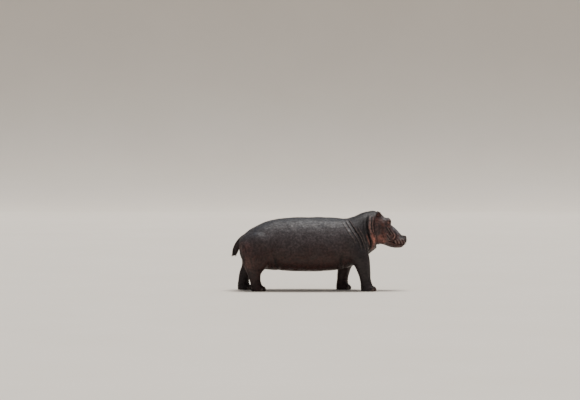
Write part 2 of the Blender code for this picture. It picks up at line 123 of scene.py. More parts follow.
def vectors(rows, key):
    """This property of every row, one vector a line."""
    found = np.empty(len(rows) * 3)
    rows.foreach_get(key, found)
    return found.reshape(-1, 3)


def points_of(mesh):
    return vectors(mesh.vertices, "co")


def put_points(mesh, points):
    mesh.vertices.foreach_set("co", points.ravel())
    mesh.update()


def on_left(points):
    """The points, with those of the right half mirrored onto the left."""
    return points * (1, 0, 1) + np.abs(points) * (0, 1, 0)


SMOOTHING = 0.5  # share of the way to its neighbours' middle that a point moves
SMOOTHING_BACK = -0.51


def relax(mesh, rounds, keep_volume=True, weights=None):
    """Evens out the surface. Each round's second, opposite step keeps the volume."""
    points = points_of(mesh)
    ends = np.empty(len(mesh.edges) * 2, np.int64)
    mesh.edges.foreach_get("vertices", ends)
    a, b = ends.reshape(-1, 2).T
    count = len(points)
    degree = np.maximum(np.bincount(a, minlength=count) + np.bincount(b, minlength=count), 1)
    share = np.ones(count) if weights is None else weights
    for step in range(rounds * (2 if keep_volume else 1)):
        pull = np.empty_like(points)
        for k in range(3):
            near = np.bincount(a, points[b, k], count) + np.bincount(b, points[a, k], count)
            pull[:, k] = near / degree - points[:, k]
        factor = SMOOTHING_BACK if keep_volume and step % 2 else SMOOTHING
        points += (factor * share)[:, None] * pull
    put_points(mesh, points)


def refine(mesh, chosen):
    """Splits each chosen face in four."""
    bm = bmesh.new()
    bm.from_mesh(mesh)
    centres = np.array([face.calc_center_median() for face in bm.faces])
    picked = [face for face, wanted in zip(bm.faces, chosen(centres)) if wanted]
    edges = {edge: None for face in picked for edge in face.edges}  # a dict keeps their order, run after run
    bmesh.ops.subdivide_edges(bm, edges=list(edges), cuts=1, use_grid_fill=True)
    bm.to_mesh(mesh)
    bm.free()


def spline(points, between=10):
    """A smooth line through these points."""
    rows = np.asarray(points, float)
    ends = np.vstack([2 * rows[0] - rows[1], rows, 2 * rows[-1] - rows[-2]])
    made = []
    for i in range(len(rows) - 1):
        a, b, c, d = ends[i : i + 4]
        for t in np.arange(between) / between:
            bent = 2 * b + (c - a) * t + (2 * a - 5 * b + 4 * c - d) * t**2
            made.append(0.5 * (bent + (3 * b - a - 3 * c + d) * t**3))
    return np.array([*made, rows[-1]])


def ease(t):
    """From 0 to 1 as t goes from 0 to 1, level at both ends."""
    t = np.clip(t, 0, 1)
    return t * t * (3 - 2 * t)


def falloff(distance, reach):
    """1 at no distance, smoothly down to 0 at the reach."""
    return ease(1 - distance / reach)


# ---- the skin's base ----
BASE_VOXEL = 0.012
CUT_REACH = 0.002  # more than the width of the cuts between the solids
PIT_DEPTH = 0.004
FORE_PART = EYE.x - 1.02  # the skin is finer from here forwards, above the fore part's level
FORE_LEVEL = 0.40
ROUNDS_BEFORE_SPLIT = 40
ROUNDS_AFTER_SPLIT = 10


def drop_cut_faces(bm):
    """Removes the faces along the thin cuts, which look straight at a neighbour's."""
    tree = BVHTree.FromBMesh(bm)
    inner = []
    for face in bm.faces:
        start = face.calc_center_median() + face.normal * 1e-5
        if tree.ray_cast(start, face.normal, CUT_REACH)[0] is not None:
            inner.append(face)
    bmesh.ops.delete(bm, geom=inner, context="FACES")


def fill_pits(mesh, outside):
    """Moves points that sank into a cut back out to the solids' outer faces."""
    for vert in mesh.vertices:
        spot, _, _, gap = outside.find_nearest(vert.co)
        if gap > PIT_DEPTH:
            vert.co = spot


def in_fore_part(centres):
    return (centres[:, 0] > FORE_PART) & (centres[:, 2] > FORE_LEVEL)


def skin_base():
    """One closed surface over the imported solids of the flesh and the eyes."""
    bm = bmesh.new()
    for name in [n for n in FLESH if n not in LOFTED_ANEW] + list(EYES):
        bm.from_mesh(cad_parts[name].data)
    drop_cut_faces(bm)
    outside = BVHTree.FromBMesh(bm)
    skin = object_of("skin", bm)
    modify(skin, "REMESH", mode="VOXEL", voxel_size=BASE_VOXEL)
    fill_pits(skin.data, outside)
    relax(skin.data, ROUNDS_BEFORE_SPLIT)
    refine(skin.data, in_fore_part)
    relax(skin.data, ROUNDS_AFTER_SPLIT)
    return skin


# Fuller or slimmer places of the head and the thighs: the middle, the reach on each axis and the move.
SWELLINGS = (
    (from_eye(0.15, -EYE.y, -0.18), (0.19, 0.26, 0.19), (0.014, 0, 0.01)),
    (from_eye(-0.124, -EYE.y, 0.09), (0.12, 0.26, 0.13), (0.003, 0, 0.036)),
    (from_eye(-0.05, -EYE.y, 0.095), (0.08, 0.26, 0.07), (0.000, 0, 0.008)),
    (from_eye(-0.25, -EYE.y, 0.18), (0.15, 0.24, 0.15), (0.002, 0, 0.01)),
    (from_eye(0.315, -EYE.y, -0.45), (0.12, 0.3, 0.11), (-0.016, 0, 0.008)),
    (from_eye(-2.85, -EYE.y, -0.72), (0.22, 0.6, 0.36), (0.024, 0, 0.000)),
)


def swell(mesh):
    points = points_of(mesh)
    for place, reach, move in SWELLINGS:
        gap = np.linalg.norm((points - np.array(place)) / reach, axis=1)
        points += (np.clip(1 - gap**2, 0, 1) ** 2)[:, None] * np.array(move)
    put_points(mesh, points)


# ---- ears and tail ----
EAR_BASE = from_eye(-0.214, 0.004, 0.072)
EAR_AXIS = Vector((-0.05, 0.42, 0.90)).normalized()
EAR_FACING = Vector((0.42, 0.88, 0.0))
EAR_LENGTH = 0.116
EAR_ROOT = 0.040  # how far the ear's stalk runs on inside the head
EAR_STALK = 0.019  # half the stalk's width
EAR_BREADTH = 0.042  # what the leaf adds to that
EAR_TIP = 0.45  # share of the length where the rounding of the tip starts
EAR_CURL = 1.25  # radians from the middle of the cup to its rim
EAR_CUP = 0.030
EAR_THICKNESS = 0.008
EAR_ROWS = 26
EAR_COLUMNS = 19
SEAM_REACH = 0.011


def ear_half_width(t):
    """Half the ear's width at this share of its length: narrow at the root, broad, then round at the tip."""
    leaf = math.sin(math.pi * min(0.5, 0.10 + 0.75 * max(t, 0))) ** 0.8
    rounding = 1 if t < EAR_TIP else math.sqrt(max(0.0, 1 - ((t - EAR_TIP) / 0.56) ** 2))
    return (EAR_STALK + EAR_BREADTH * leaf) * rounding


def ear_point(side, t, s):
    """A place on the ear: t runs from its root to its tip, s from one rim to the other, -1 to 1."""
    axis = mirrored(EAR_AXIS, side)
    facing = mirrored(EAR_FACING, side)
    back = -(facing - axis * facing.dot(axis)).normalized()
    across = axis.cross(back)
    curl = s * EAR_CURL * (1.25 - 0.35 * max(t, 0))
    sideways = ear_half_width(t) * math.sin(curl) / math.sin(EAR_CURL)
    backwards = EAR_CUP * (1.15 - 0.6 * max(t, 0)) * (math.cos(curl) - 0.4)
    upwards = EAR_LENGTH * t * (1 - 0.06 * s * s)
    return mirrored(EAR_BASE, side) + axis * upwards + across * sideways + back * backwards


def ear(side):
    """A cupped leaf on a short stalk, opening forwards and outwards."""
    bm = bmesh.new()
    grid = []
    for t in np.linspace(-EAR_ROOT / EAR_LENGTH, 1, EAR_ROWS):
        grid.append([bm.verts.new(ear_point(side, t, s)) for s in np.linspace(-1, 1, EAR_COLUMNS)])
    quads(bm, grid)
    made = object_of("ear", bm)
    modify(made, "SOLIDIFY", thickness=EAR_THICKNESS, offset=0)
    modify(made, "SUBSURF", levels=1)
    return made


# Told from the tip: forwards, up, half the depth and half the width.
TAIL_RINGS = (
    (0.256, 0.385, 0.058, 0.05),
    (0.198, 0.345, 0.058, 0.04),
    (0.125, 0.28, 0.055, 0.033),
    (0.076, 0.195, 0.056, 0.027),
    (0.04, 0.11, 0.055, 0.02),
    (0.017, 0.045, 0.036, 0.013),
    (0.004, 0.004, 0.01, 0.005),
)
TAIL_LINE = [TAIL_TIP + Vector((x, 0, z)) for x, z, *_ in TAIL_RINGS]
TAIL_SIDES = 26


def tail():
    """A short tail, round at the root and flattened from side to side towards its tip."""
    rows = spline(TAIL_RINGS, 7)
    angles = [math.tau * k / TAIL_SIDES for k in range(TAIL_SIDES)]
    bm = bmesh.new()
    rings = []
    for i, (x, z, depth, width) in enumerate(rows):
        before, after = rows[max(i - 1, 0)], rows[min(i + 1, len(rows) - 1)]
        along = Vector((after[0] - before[0], 0, after[1] - before[1])).normalized()
        across = Vector((-along.z, 0, along.x))
        centre = TAIL_TIP + Vector((x, 0, z))
        ring = [centre + across * depth * math.cos(a) + Vector((0, width * math.sin(a), 0)) for a in angles]
        rings.append([bm.verts.new(point) for point in ring])
    quads(bm, rings, closed=True)
    bm.faces.new(rings[0])
    bm.faces.new(rings[-1])
    return object_of("tail", bm)


def join(obj, others):
    """Joins the other shapes to the object. The other shapes are used up."""
    bm = bmesh.new()
    for other in others:
        bm.from_mesh(other.data)
        bpy.data.objects.remove(other)
    tool = object_of("tool", bm)
    modify(obj, "BOOLEAN", operation="UNION", solver="MANIFOLD", object=tool)
    bpy.data.objects.remove(tool)


def soften_seams(mesh, tree, others):
    """Rounds the seams where the other shapes grow out of the skin."""
    near_both = []
    for vert in mesh.vertices:
        gap = min(other.find_nearest(vert.co)[3] for other in others)
        near_both.append(max(gap, tree.find_nearest(vert.co)[3]) if gap < SEAM_REACH else 1.0)
    relax(mesh, 10, keep_volume=False, weights=falloff(np.array(near_both), SEAM_REACH))


# ---- eyes and lids ----
GAZE = Vector((0.30, 0.93, 0.10)).normalized()
OPENING = Vector((0.0185, 0.0125))  # half the width and half the height of the gap between the lids
OPENING_AHEAD = 0.85  # both are told at this share of the eyeball's radius ahead of its middle
LOWER_SHARE = 0.82  # the gap reaches this much as far down as up
LID_ALMOND = 1.65  # power of the gap's outline: 2 is an ellipse, less comes to a point at the corners
LID_RIM = (0.0046, 0.0032)  # how far the upper and the lower lid stand over the eyeball
LID_INSIDE = 0.84  # share of the eyeball's radius that the skin sinks to in the gap
# Told in the lids' scale, which is 1 on the edge of the gap and grows outwards.
LID_EDGE = (0.93, 0.16)  # where the skin starts to rise out of the gap, and over how much
LID_TOP = 1.1  # from here outwards the lid never sinks below its blend with the head
LID_FADE = (1.5, 1.7)  # where the lids start to pass into the head, and over how much
LID_RINGS = ((1.22, 0.14, 0.0012), (1.75, 0.13, -0.0030))  # a roll and a groove: place, width, height
EYEBALL_GAP = 0.0006  # how much smaller the eyeball is than its solid
CORNEA_FROM = 0.82  # the cornea bulges out from this share of the radius along the gaze
CORNEA_HEIGHT = 0.0012
COVER = EYE_RADIUS + 0.0020  # how far from the eye's middle the skin lies over the eyeball
COVER_BLEND = 0.036  # how far round it the skin is drawn out with it
COVER_ANGLE = math.radians(125)  # and how far round from the gaze


def eye_axes(side):
    """The eye's gaze, and across and up in its view."""
    gaze = mirrored(GAZE, side)
    across = Vector((0, 0, 1)).cross(gaze).normalized()
    return gaze, across, gaze.cross(across)


def spokes(points, side):
    """From the eye's middle to each point: the spoke, its length, and its parts ahead, across and up."""
    spoke = points - np.array(mirrored(EYE, side))
    return (spoke, np.linalg.norm(spoke, axis=1), *(spoke @ np.array(axis) for axis in eye_axes(side)))


def lid_scale(ahead, across, up):
    """Each point's place in the lids' scale."""
    ahead = np.maximum(ahead, 1e-4)
    wide = np.abs(across) / ahead * OPENING_AHEAD * EYE_RADIUS / OPENING.x
    high = np.abs(up) / ahead * OPENING_AHEAD * EYE_RADIUS / OPENING.y
    high = np.where(up > 0, high, high / LOWER_SHARE)
    return (wide**LID_ALMOND + high**LID_ALMOND) ** (1 / LID_ALMOND)


def lid_point(angle, scale):
    """A point on the left eyeball at this angle round the gap and this place in the lids' scale."""
    gaze, across, up = eye_axes(1)
    cosine, sine = math.cos(angle), math.sin(angle)
    size = scale / (abs(cosine) ** LID_ALMOND + abs(sine) ** LID_ALMOND) ** (1 / LID_ALMOND)
    wide, high = OPENING.x * size * cosine, OPENING.y * size * sine * (1 if sine > 0 else LOWER_SHARE)
    ahead = gaze * OPENING_AHEAD * EYE_RADIUS
    return EYE + (ahead + across * wide + up * high).normalized() * EYE_RADIUS


def lid_ring(scale):
    """A whole ring round the gap of the left eye."""
    return [lid_point(math.tau * k / 12, scale) for k in range(13)]


def cover_eyeballs(mesh):
    """Swells the orbits softly so that the skin lies over the eyeballs, as the lids will."""
    points = points_of(mesh)
    for side in SIDES:
        spoke, distance, ahead, _, _ = spokes(points, side)
        distance = np.maximum(distance, 1e-6)
        facing = np.arccos(np.clip(ahead / distance, -1, 1))
        share = falloff(facing, COVER_ANGLE) * (distance < 3 * EYE_RADIUS)
        blend = np.clip(1 - np.abs(distance - COVER) / COVER_BLEND, 0, 1)
        swollen = np.maximum(distance, COVER) + blend**2 * COVER_BLEND / 4
        points += spoke * (share * (swollen / distance - 1))[:, None]
    put_points(mesh, points)


def shape_lids(mesh):
    """Draws the skin round each eyeball into thick lids, and in the gap between them down into the ball."""
    points = points_of(mesh)
    inside = EYE_RADIUS * LID_INSIDE
    for side in SIDES:
        spoke, distance, ahead, across, up = spokes(points, side)
        scale = lid_scale(ahead, across, up)
        near = (ahead > 0.25 * EYE_RADIUS) & (distance < 2.6 * EYE_RADIUS) & (scale < 4)
        s = scale[near]
        rim = np.where(up[near] > 0, *LID_RIM)
        lid = inside + (EYE_RADIUS + rim - inside) * ease((s - LID_EDGE[0]) / LID_EDGE[1])
        for place, width, height in LID_RINGS:
            lid += height * np.exp(-(((s - place) / width) ** 2))
        hold = ease(1 - (s - LID_FADE[0]) / LID_FADE[1])
        blended = distance[near] * (1 - hold) + lid * hold
        target = np.where(s < LID_TOP, lid, np.maximum(lid, blended))
        wanted = distance[near] * (1 - hold) + target * hold
        points[near] += spoke[near] * (wanted / distance[near] - 1)[:, None]
    put_points(mesh, points)


def eyeball(name, side):
    """A wet eyeball with a bulging cornea, its front along the gaze."""
    gaze, across, up = eye_axes(side)
    bm = bmesh.new()
    bmesh.ops.create_uvsphere(bm, u_segments=64, v_segments=40, radius=1)
    turn = Matrix((across, up, gaze)).transposed().to_4x4()
    for vert in bm.verts:
        bulge = CORNEA_HEIGHT * max(0, (vert.co.z - CORNEA_FROM) / (1 - CORNEA_FROM))
        vert.co *= EYE_RADIUS - EYEBALL_GAP + bulge
    bmesh.ops.transform(bm, matrix=Matrix.Translation(mirrored(EYE, side)) @ turn, verts=bm.verts)
    made = object_of(name + "_ball", bm)
    shade_smooth(made.data)
    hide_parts(name)
    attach(made, "root")
    return made


# ---- sculpting ----
# What the brushes paint: painted shade and other darker places, pink, pale tints that are mostly painted
# highlights, and shine, a painted sheen that also lowers the roughness.
CHANNELS = ("crease", "pink", "pale", "shine")
SWAY = 0.006  # how far the strokes wander from their lines
SWAY_SIZE = 0.07
FULL_DEPTH = 0.007  # creases from this depth on are painted fully dark
SOLE_LEVEL = 0.003  # what lies below this is pressed flat onto the ground


class Sculptor:
    """The skin's points, the brushes that move them along their normals, and what the brushes paint."""

    def __init__(self, obj):
        self.mesh = obj.data
        self.tree = tree_of(obj)
        self.points = points_of(self.mesh)
        self.normals = vectors(self.mesh.vertex_normals, "vector")
        sway = np.array([noise.noise_vector(Vector(point) / SWAY_SIZE) for point in self.points])
        self.swayed = self.points + SWAY * sway
        self.uneven = 0.85 + 0.6 * sway[:, 0]
        count = len(self.points)
        self.rise = np.zeros(count)
        self.paint = {channel: np.zeros(count) for channel in CHANNELS}

    def gaps(self, line, columns, reach):
        """The points near the line, their distance from it and their place along it from 0 to 1."""
        spots = self.swayed[:, columns]
        near = np.flatnonzero(((spots > line.min(0) - reach) & (spots < line.max(0) + reach)).all(1))
        best = np.full(len(near), np.inf)
        along = np.zeros(len(near))
        for i, (a, b) in enumerate(zip(line, line[1:])):
            step = b - a
            t = np.clip(((spots[near] - a) @ step) / max(step @ step, 1e-12), 0, 1)
            gap = np.linalg.norm(spots[near] - (a + t[:, None] * step), axis=1)
            closer = gap < best
            best[closer] = gap[closer]
            along[closer] = (i + t[closer]) / (len(line) - 1)
        return near, best, along

    def stroke(self, line, columns, width, depth, mask, puff=0.4, taper=0.15):
        """A groove with a swollen lip on either side and painted shade along it or, with a depth below zero,
        a ridge.
        """
        near, gap, along = self.gaps(spline(line), columns, 5 * width)
        share = ease(np.minimum(along, 1 - along) / taper) * (mask * self.uneven)[near]
        line_share = share * np.exp(-((gap / width) ** 2))
        self.rise[near] -= depth * line_share
        if depth > 0:
            beside = np.exp(-(((gap - 2.1 * width) / (1.1 * width)) ** 2))
            self.rise[near] += depth * puff * share * beside
            # painted shade along the groove, fuller the deeper it is
            self.colour("crease", near, np.sqrt(line_share) * min(1, depth / FULL_DEPTH))

    def colour(self, channel, near, share):
        self.paint[channel][near] = np.maximum(self.paint[channel][near], share)

    def flank_mask(self, facing):
        """1 where the skin faces sideways, less where it faces up, down or along. All 1 for no facing."""
        return np.clip(np.abs(self.normals[:, 1]) / facing, 0, 1) if facing else np.ones(len(self.points))

    def side_stroke(self, line, width, depth, facing=0.25, **shape):
        """A stroke on both flanks along a line told in the side view."""
        self.stroke(line, (0, 2), width, depth, self.flank_mask(facing), **shape)

    def stroke_3d(self, line, width, depth, sides=SIDES, **shape):
        """A stroke along a line in space near the skin, and along its mirror image."""
        for side in sides:
            on_skin = [self.tree.find_nearest(mirrored(point, side))[0] for point in line]
            self.stroke(on_skin, (0, 1, 2), width, depth, self.flank_mask(0), **shape)

    def tint(self, channel, width, amount, line, facing=0.3):
        """Paints along a line told in the side view, or along a line in space and its mirror image."""
        flat = len(line[0]) == 2
        for each in [line] if flat else [[mirrored(point, side) for point in line] for side in SIDES]:
            near, gap, along = self.gaps(spline(each), (0, 2) if flat else (0, 1, 2), 3 * width)
            ends = np.clip(np.minimum(along, 1 - along) / 0.15, 0, 1)
            mask = self.flank_mask(facing if flat else 0)[near]
            self.colour(channel, near, amount * ends * mask * np.exp(-((gap / width) ** 2)))

    def lump(self, height, size, seed, mask):
        """Uneven swellings all over, about this far across."""
        shift = Vector((seed, 2.3 * seed, 0.7 * seed))
        waves = np.array([noise.noise(Vector(point) / size + shift) for point in self.points])
        self.rise += height * waves * mask

    def done(self):
        """Moves the skin's points, presses its soles flat, and returns what was painted on each point."""
        put_points(self.mesh, self.points + self.normals * self.rise[:, None])
        points = points_of(self.mesh)
        points[:, 2] = np.where(points[:, 2] < SOLE_LEVEL, 0, points[:, 2])
        put_points(self.mesh, points)
        return np.column_stack([self.paint[channel] for channel in CHANNELS])


def side_line(*offsets):
    """A line in the side view, told from the middle of the eye."""
    return [(EYE.x + x, EYE.z + z) for x, z in offsets]


def side_lines(*rows):
    """The same rows, with the offsets at the end of each made one line in the side view."""
    made = []
    for row in rows:
        start = [each for each in row if not isinstance(each, tuple)]
        made.append((*start, side_line(*row[len(start) :])))
    return made


MOUTH = side_line(
    (-0.02, -0.372), (0.03, -0.382), (0.078, -0.402), (0.13, -0.424), (0.2, -0.437), (0.27, -0.436),
    (0.345, -0.424),
)
NOSTRIL = [from_eye(0.318, -0.112, -0.3), from_eye(0.285, -0.086, -0.276), from_eye(0.245, -0.058, -0.282)]
# Each crease: its width, its depth and its line in the side view.
FACE_CREASES = side_lines(
    (0.008, 0.0085, (-0.088, -0.084), (-0.046, -0.149), (0.002, -0.215), (0.034, -0.258)),
    (0.007, 0.0075, (-0.031, -0.108), (0.011, -0.168), (0.054, -0.225), (0.073, -0.275), (0.06, -0.31)),
    (0.008, 0.007, (0.078, -0.168), (0.118, -0.232), (0.132, -0.285), (0.105, -0.34), (0.05, -0.376)),
    (0.008, 0.007, (-0.06, -0.245), (-0.028, -0.295), (0.002, -0.34), (0.04, -0.352)),
    (0.007, 0.006, (0.065, -0.368), (0.085, -0.398), (0.098, -0.42)),
    (0.006, 0.0062, (0.125, -0.35), (0.148, -0.396), (0.162, -0.428)),
    (0.006, 0.0062, (0.183, -0.34), (0.208, -0.39), (0.222, -0.43)),
    (0.006, 0.0062, (0.235, -0.335), (0.256, -0.378), (0.272, -0.426)),
    (0.006, 0.0062, (0.27, -0.33), (0.292, -0.362), (0.305, -0.4)),
    (0.006, 0.004, (-0.01, -0.085), (0.034, -0.11), (0.075, -0.15)),
    (0.008, 0.005, (-0.14, -0.2), (-0.12, -0.29), (-0.06, -0.36)),
    (0.01, 0.004, (-0.215, -0.06), (-0.195, -0.15), (-0.2, -0.25)),
)
BELOW_EYE_CREASES = FACE_CREASES[:2]
PINK_FOLD = side_line(
    (0.03, -0.158), (0.075, -0.218), (0.097, -0.268), (0.083, -0.312), (0.042, -0.34), (0.008, -0.36)
)
PINK_RIDGE = (0.009, 0.0050, 0.0, PINK_FOLD)
# Ridges of the face: their width, their height, how much painted highlight they get and their line.
FACE_RIDGES = side_lines(
    (0.01, 0.0045, 0.45, (-0.064, -0.092), (-0.014, -0.158), (0.03, -0.222), (0.05, -0.262)),
    (0.009, 0.0025, 0.75, (0.092, -0.35), (0.112, -0.392), (0.134, -0.436)),
    (0.009, 0.0025, 0.72, (0.146, -0.335), (0.17, -0.38), (0.19, -0.428)),
    (0.009, 0.0025, 0.85, (0.196, -0.33), (0.224, -0.38), (0.244, -0.43)),
    (0.009, 0.0025, 0.72, (0.246, -0.32), (0.27, -0.36), (0.29, -0.41)),
    (0.009, 0.004, 0.75, (-0.055, -0.219), (-0.021, -0.27), (0.004, -0.307)),
    (0.009, 0.0045, 0.75, (-0.05, -0.3), (-0.018, -0.345), (0.012, -0.372)),
)
# Half of the groove where the throat's roll starts, in a line round below the jaw.
THROAT_NOTCH = [
    from_eye(-0.25, 0.03, -0.33),
    from_eye(-0.236, 0.000, -0.43),
    from_eye(-0.226, -0.08, -0.462),
    from_eye(-0.222, -EYE.y, -0.47),
]
NECK_ROLL = side_line(
    (-0.364, 0.13), (-0.378, -0.107), (-0.351, -0.211), (-0.309, -0.301), (-0.295, -0.384), (-0.323, -0.474),
    (-0.378, -0.557),
)
CHEEK_ROLL = side_line((-0.309, 0.101), (-0.323, -0.04), (-0.316, -0.176), (-0.278, -0.27), (-0.262, -0.36))
THROAT_ROLL = side_line((-0.45, -0.22), (-0.427, -0.3), (-0.399, -0.38), (-0.378, -0.454), (-0.41, -0.53))
# The neck's rolls and folds: their width, their depth (below zero they stand out) and their line.
NECK_ROLLS = ((0.022, -0.009, NECK_ROLL), (0.016, -0.006, CHEEK_ROLL), (0.014, -0.006, THROAT_ROLL))
NECK_FOLDS = side_lines(
    (0.012, 0.016, (-0.414, 0.14), (-0.436, -0.038), (-0.419, -0.176), (-0.394, -0.28), (-0.374, -0.35),
     (-0.369, -0.44), (-0.41, -0.56)),
    (0.008, 0.0065, (-0.344, 0.12), (-0.354, -0.02), (-0.344, -0.14), (-0.312, -0.23), (-0.284, -0.32)),
    (0.007, 0.006, (-0.287, 0.11), (-0.299, -0.06), (-0.292, -0.19), (-0.258, -0.28), (-0.25, -0.4)),
    (0.01, 0.005, (-0.486, 0.09), (-0.5, -0.06), (-0.492, -0.18), (-0.462, -0.29), (-0.43, -0.39)),
    (0.009, 0.003, (-0.545, 0.02), (-0.565, -0.12), (-0.545, -0.24), (-0.505, -0.35), (-0.47, -0.45)),
    (0.009, 0.006, (-0.33, -0.36), (-0.345, -0.43), (-0.385, -0.5)),
)
SHOULDER_CREASES = side_lines(
    (0.009, 0.007, (-0.822, 0.08), (-0.697, -0.11), (-0.581, -0.276), (-0.52, -0.423), (-0.482, -0.56)),
    (0.008, 0.0055, (-0.882, 0.075), (-0.762, -0.13), (-0.65, -0.29), (-0.584, -0.43), (-0.542, -0.56)),
    (0.009, 0.003, (-0.64, -0.08), (-0.56, -0.21), (-0.505, -0.33), (-0.48, -0.42)),
    (0.009, 0.003, (-0.93, 0.02), (-0.83, -0.15), (-0.73, -0.3), (-0.66, -0.43)),
)
# Told in the frame: folds where the legs meet the trunk, on the rump and on the belly's side.
TRUNK_CREASES = (
    (0.02, 0.008, ((0.43, 0.38), (0.4, 0.5), (0.405, 0.62), (0.45, 0.76))),
    (0.016, 0.004, ((0.35, 0.38), (0.33, 0.49), (0.34, 0.6))),
    (0.022, 0.008, ((-0.78, 0.39), (-0.805, 0.47), (-0.84, 0.59), (-0.85, 0.76))),
    (0.018, 0.004, ((-0.7, 0.4), (-0.725, 0.47), (-0.75, 0.58))),
    (0.018, 0.005, ((-0.87, 0.37), (-0.905, 0.45), (-0.94, 0.58))),
    (0.016, 0.008, ((-1.54, 0.78), (-1.49, 0.7), (-1.44, 0.59), (-1.42, 0.46))),
    (0.014, 0.005, ((-1.49, 0.92), (-1.43, 0.83), (-1.38, 0.72))),
    (0.016, 0.006, ((0.48, 0.56), (0.56, 0.52), (0.64, 0.5), (0.74, 0.52))),
    (0.014, 0.004, ((-1.32, 0.42), (-1.22, 0.4), (-1.12, 0.41), (-1.02, 0.44))),
)
# Folds of skin above each foot: the level, the first and the last angle in degrees, and the count of points.
ANKLE_FOLDS = (
    (0.112, -70, 70, 9),
    (0.14, -100, 70, 9),
    (0.172, -40, 110, 9),
    (0.205, -110, 20, 9),
    (0.095, 110, 250, 7),
)
ANKLE_RADIUS = 0.12
ANKLE_TOP = 0.23
ORBIT_WRINKLES = ((2.35, 0.0022), (2.9, 0.0020), (3.6, 0.0016))  # place in the lids' scale, and depth
BROW_TOP = [from_eye(-0.11, 0.0, 0.05), from_eye(-0.04, 0.0, 0.062), from_eye(0.03, 0.0, 0.045)]
# A spot behind the eye: pink lid skin with a painted highlight on it.
BEHIND_EYE = [from_eye(-0.036, 0.02, 0.002), from_eye(-0.024, 0.02, -0.02), from_eye(-0.006, 0.02, -0.032)]
# What is painted: the channel, the width, the amount and the line, in the side view or in space.
TINTS = [
    ("pink", 0.018, 0.45, NECK_ROLL),
    ("pink", 0.03, 1.0, NECK_ROLL[2:6]),
    # painted highlight on the upper part of the neck's roll
    ("pale", 0.013, 0.4, NECK_ROLL[:3]),
    ("pink", 0.012, 0.35, CHEEK_ROLL),
    # painted highlight along the cheek's roll
    ("pale", 0.009, 0.3, CHEEK_ROLL),
    ("pink", 0.012, 0.55, THROAT_ROLL),
    ("pink", 0.007, 0.35, PINK_FOLD),
    # painted highlight along the pink fold's ridge
    ("pale", 0.006, 0.6, PINK_FOLD),
    # painted shade round the nostril and in the fold round the eye, and a darker brow
    ("crease", 0.052, 0.75, NOSTRIL),
    ("crease", 0.03, 0.22, BROW_TOP),
    ("crease", 0.009, 0.9, lid_ring(1.35)),
    ("pink", 0.01, 0.35, lid_ring(2.1)),
    # the pink and the painted highlight behind the eye
    ("pink", 0.011, 0.6, BEHIND_EYE),
    ("pale", 0.009, 0.7, BEHIND_EYE),
    # darker over the ear, most along the middle of its cup
    ("crease", 0.055, 0.62, [ear_point(1, t, 0) for t in (0.0, 0.35, 0.7, 1.0)]),
    ("pink", 0.026, 0.7, [ear_point(1, t, 0) for t in (0.0, 0.3, 0.6)]),
    # darker along the tail
    ("crease", 0.06, 0.5, TAIL_LINE),
    *side_lines(
        ("pink", 0.085, 0.42, (-0.235, -0.26), (-0.19, -0.31), (-0.13, -0.34), (-0.06, -0.37)),  # the cheek
        ("pink", 0.034, 0.08, (-0.255, -0.1), (-0.245, 0.02), (-0.2, 0.06)),  # below the ear
        # painted highlight on a line from the ear to the eye
        ("pale", 0.012, 0.25, (-0.22, 0.01), (-0.17, 0.03), (-0.12, 0.00), (-0.07, -0.02)),  # from ear to eye
        # reddish tone on the rear thigh, partly painted light
        ("pink", 0.13, 0.14, (-2.8, -0.35), (-2.74, -0.55), (-2.72, -0.75), (-2.76, -0.95)),  # the thigh
        # darker on the temple and beside the muzzle
        ("crease", 0.055, 0.38, (-0.19, -0.07), (-0.14, -0.1), (-0.1, -0.15)),  # the temple
        ("crease", 0.03, 0.7, (0.18, -0.27), (0.24, -0.3), (0.3, -0.32), (0.35, -0.35)),  # the muzzle
    ),
]
# The same, painted on skin that faces up and down too.
ALL_ROUND_TINTS = side_lines(
    # painted shade under the throat's roll
    ("crease", 0.028, 0.85, (-0.245, -0.4), (-0.25, -0.45), (-0.272, -0.5)),  # the throat's roll
    # painted sheen on the bridge of the nose
    ("shine", 0.045, 0.62, (0.06, -0.09), (0.13, -0.16), (0.19, -0.23)),  # the bridge of the nose
    # painted shade on the crown, damping its highlight
    ("crease", 0.045, 0.45, (-0.4, 0.16), (-0.31, 0.17), (-0.22, 0.16)),  # the crown
    # painted shade along the underside of the jaw, against the light the floor throws up
    ("crease", 0.048, 0.9, (-0.24, -0.43), (-0.1, -0.47), (0.05, -0.51), (0.2, -0.52), (0.32, -0.47)),  # jaw
)
FINE_EYE = 0.065  # how far round the eye, the nostril and the mouth the skin is finer
FINE_NOSTRIL = 0.060
FINE_MOUTH = 0.016
KEPT_ROUND_EYE = 0.040  # nearer the eye than this, the skin isn't thinned


def near_line(spots, line, between, reach):
    """Which places lie this near to a line told in the side view."""
    near = np.zeros(len(spots), bool)
    for point in spline(line, between):
        near |= np.linalg.norm(spots[:, (0, 2)] - point, axis=1) < reach
    return near


def near_point(spots, point, reach):
    """Which places lie this near to the point on the left half or to its mirror image."""
    return np.linalg.norm(on_left(spots) - np.array(point), axis=1) < reach


def near_trunk_creases(centres):
    """Which faces of the trunk and legs lie near a fold, or round an ankle."""
    near = (centres[:, 2] < ANKLE_TOP) & (centres[:, 2] > 0.002)
    for width, _, line in TRUNK_CREASES:
        near |= near_line(centres, line, 8, 3.5 * width)
    return near


def near_fine_parts(share):
    """A test of which faces lie near the eyes, nostrils or mouth, within this share of their reach."""

    def chosen(centres):
        eyes = near_point(centres, EYE, FINE_EYE * share)
        nostrils = near_point(centres, NOSTRIL[1], FINE_NOSTRIL * share)
        return eyes | nostrils | near_line(centres, MOUTH, 5, FINE_MOUTH * share)

    return chosen


def ankle_folds():
    """Partial rings above each foot, as lines in space."""
    for foot in FEET:
        centre = sole_middle(foot)
        for level, first, last, count in ANKLE_FOLDS:
            turns = np.radians(np.linspace(first, last, count))
            ring = [Vector((ANKLE_RADIUS * math.cos(a), ANKLE_RADIUS * math.sin(a), level)) for a in turns]
            yield [centre + spoke for spoke in ring]


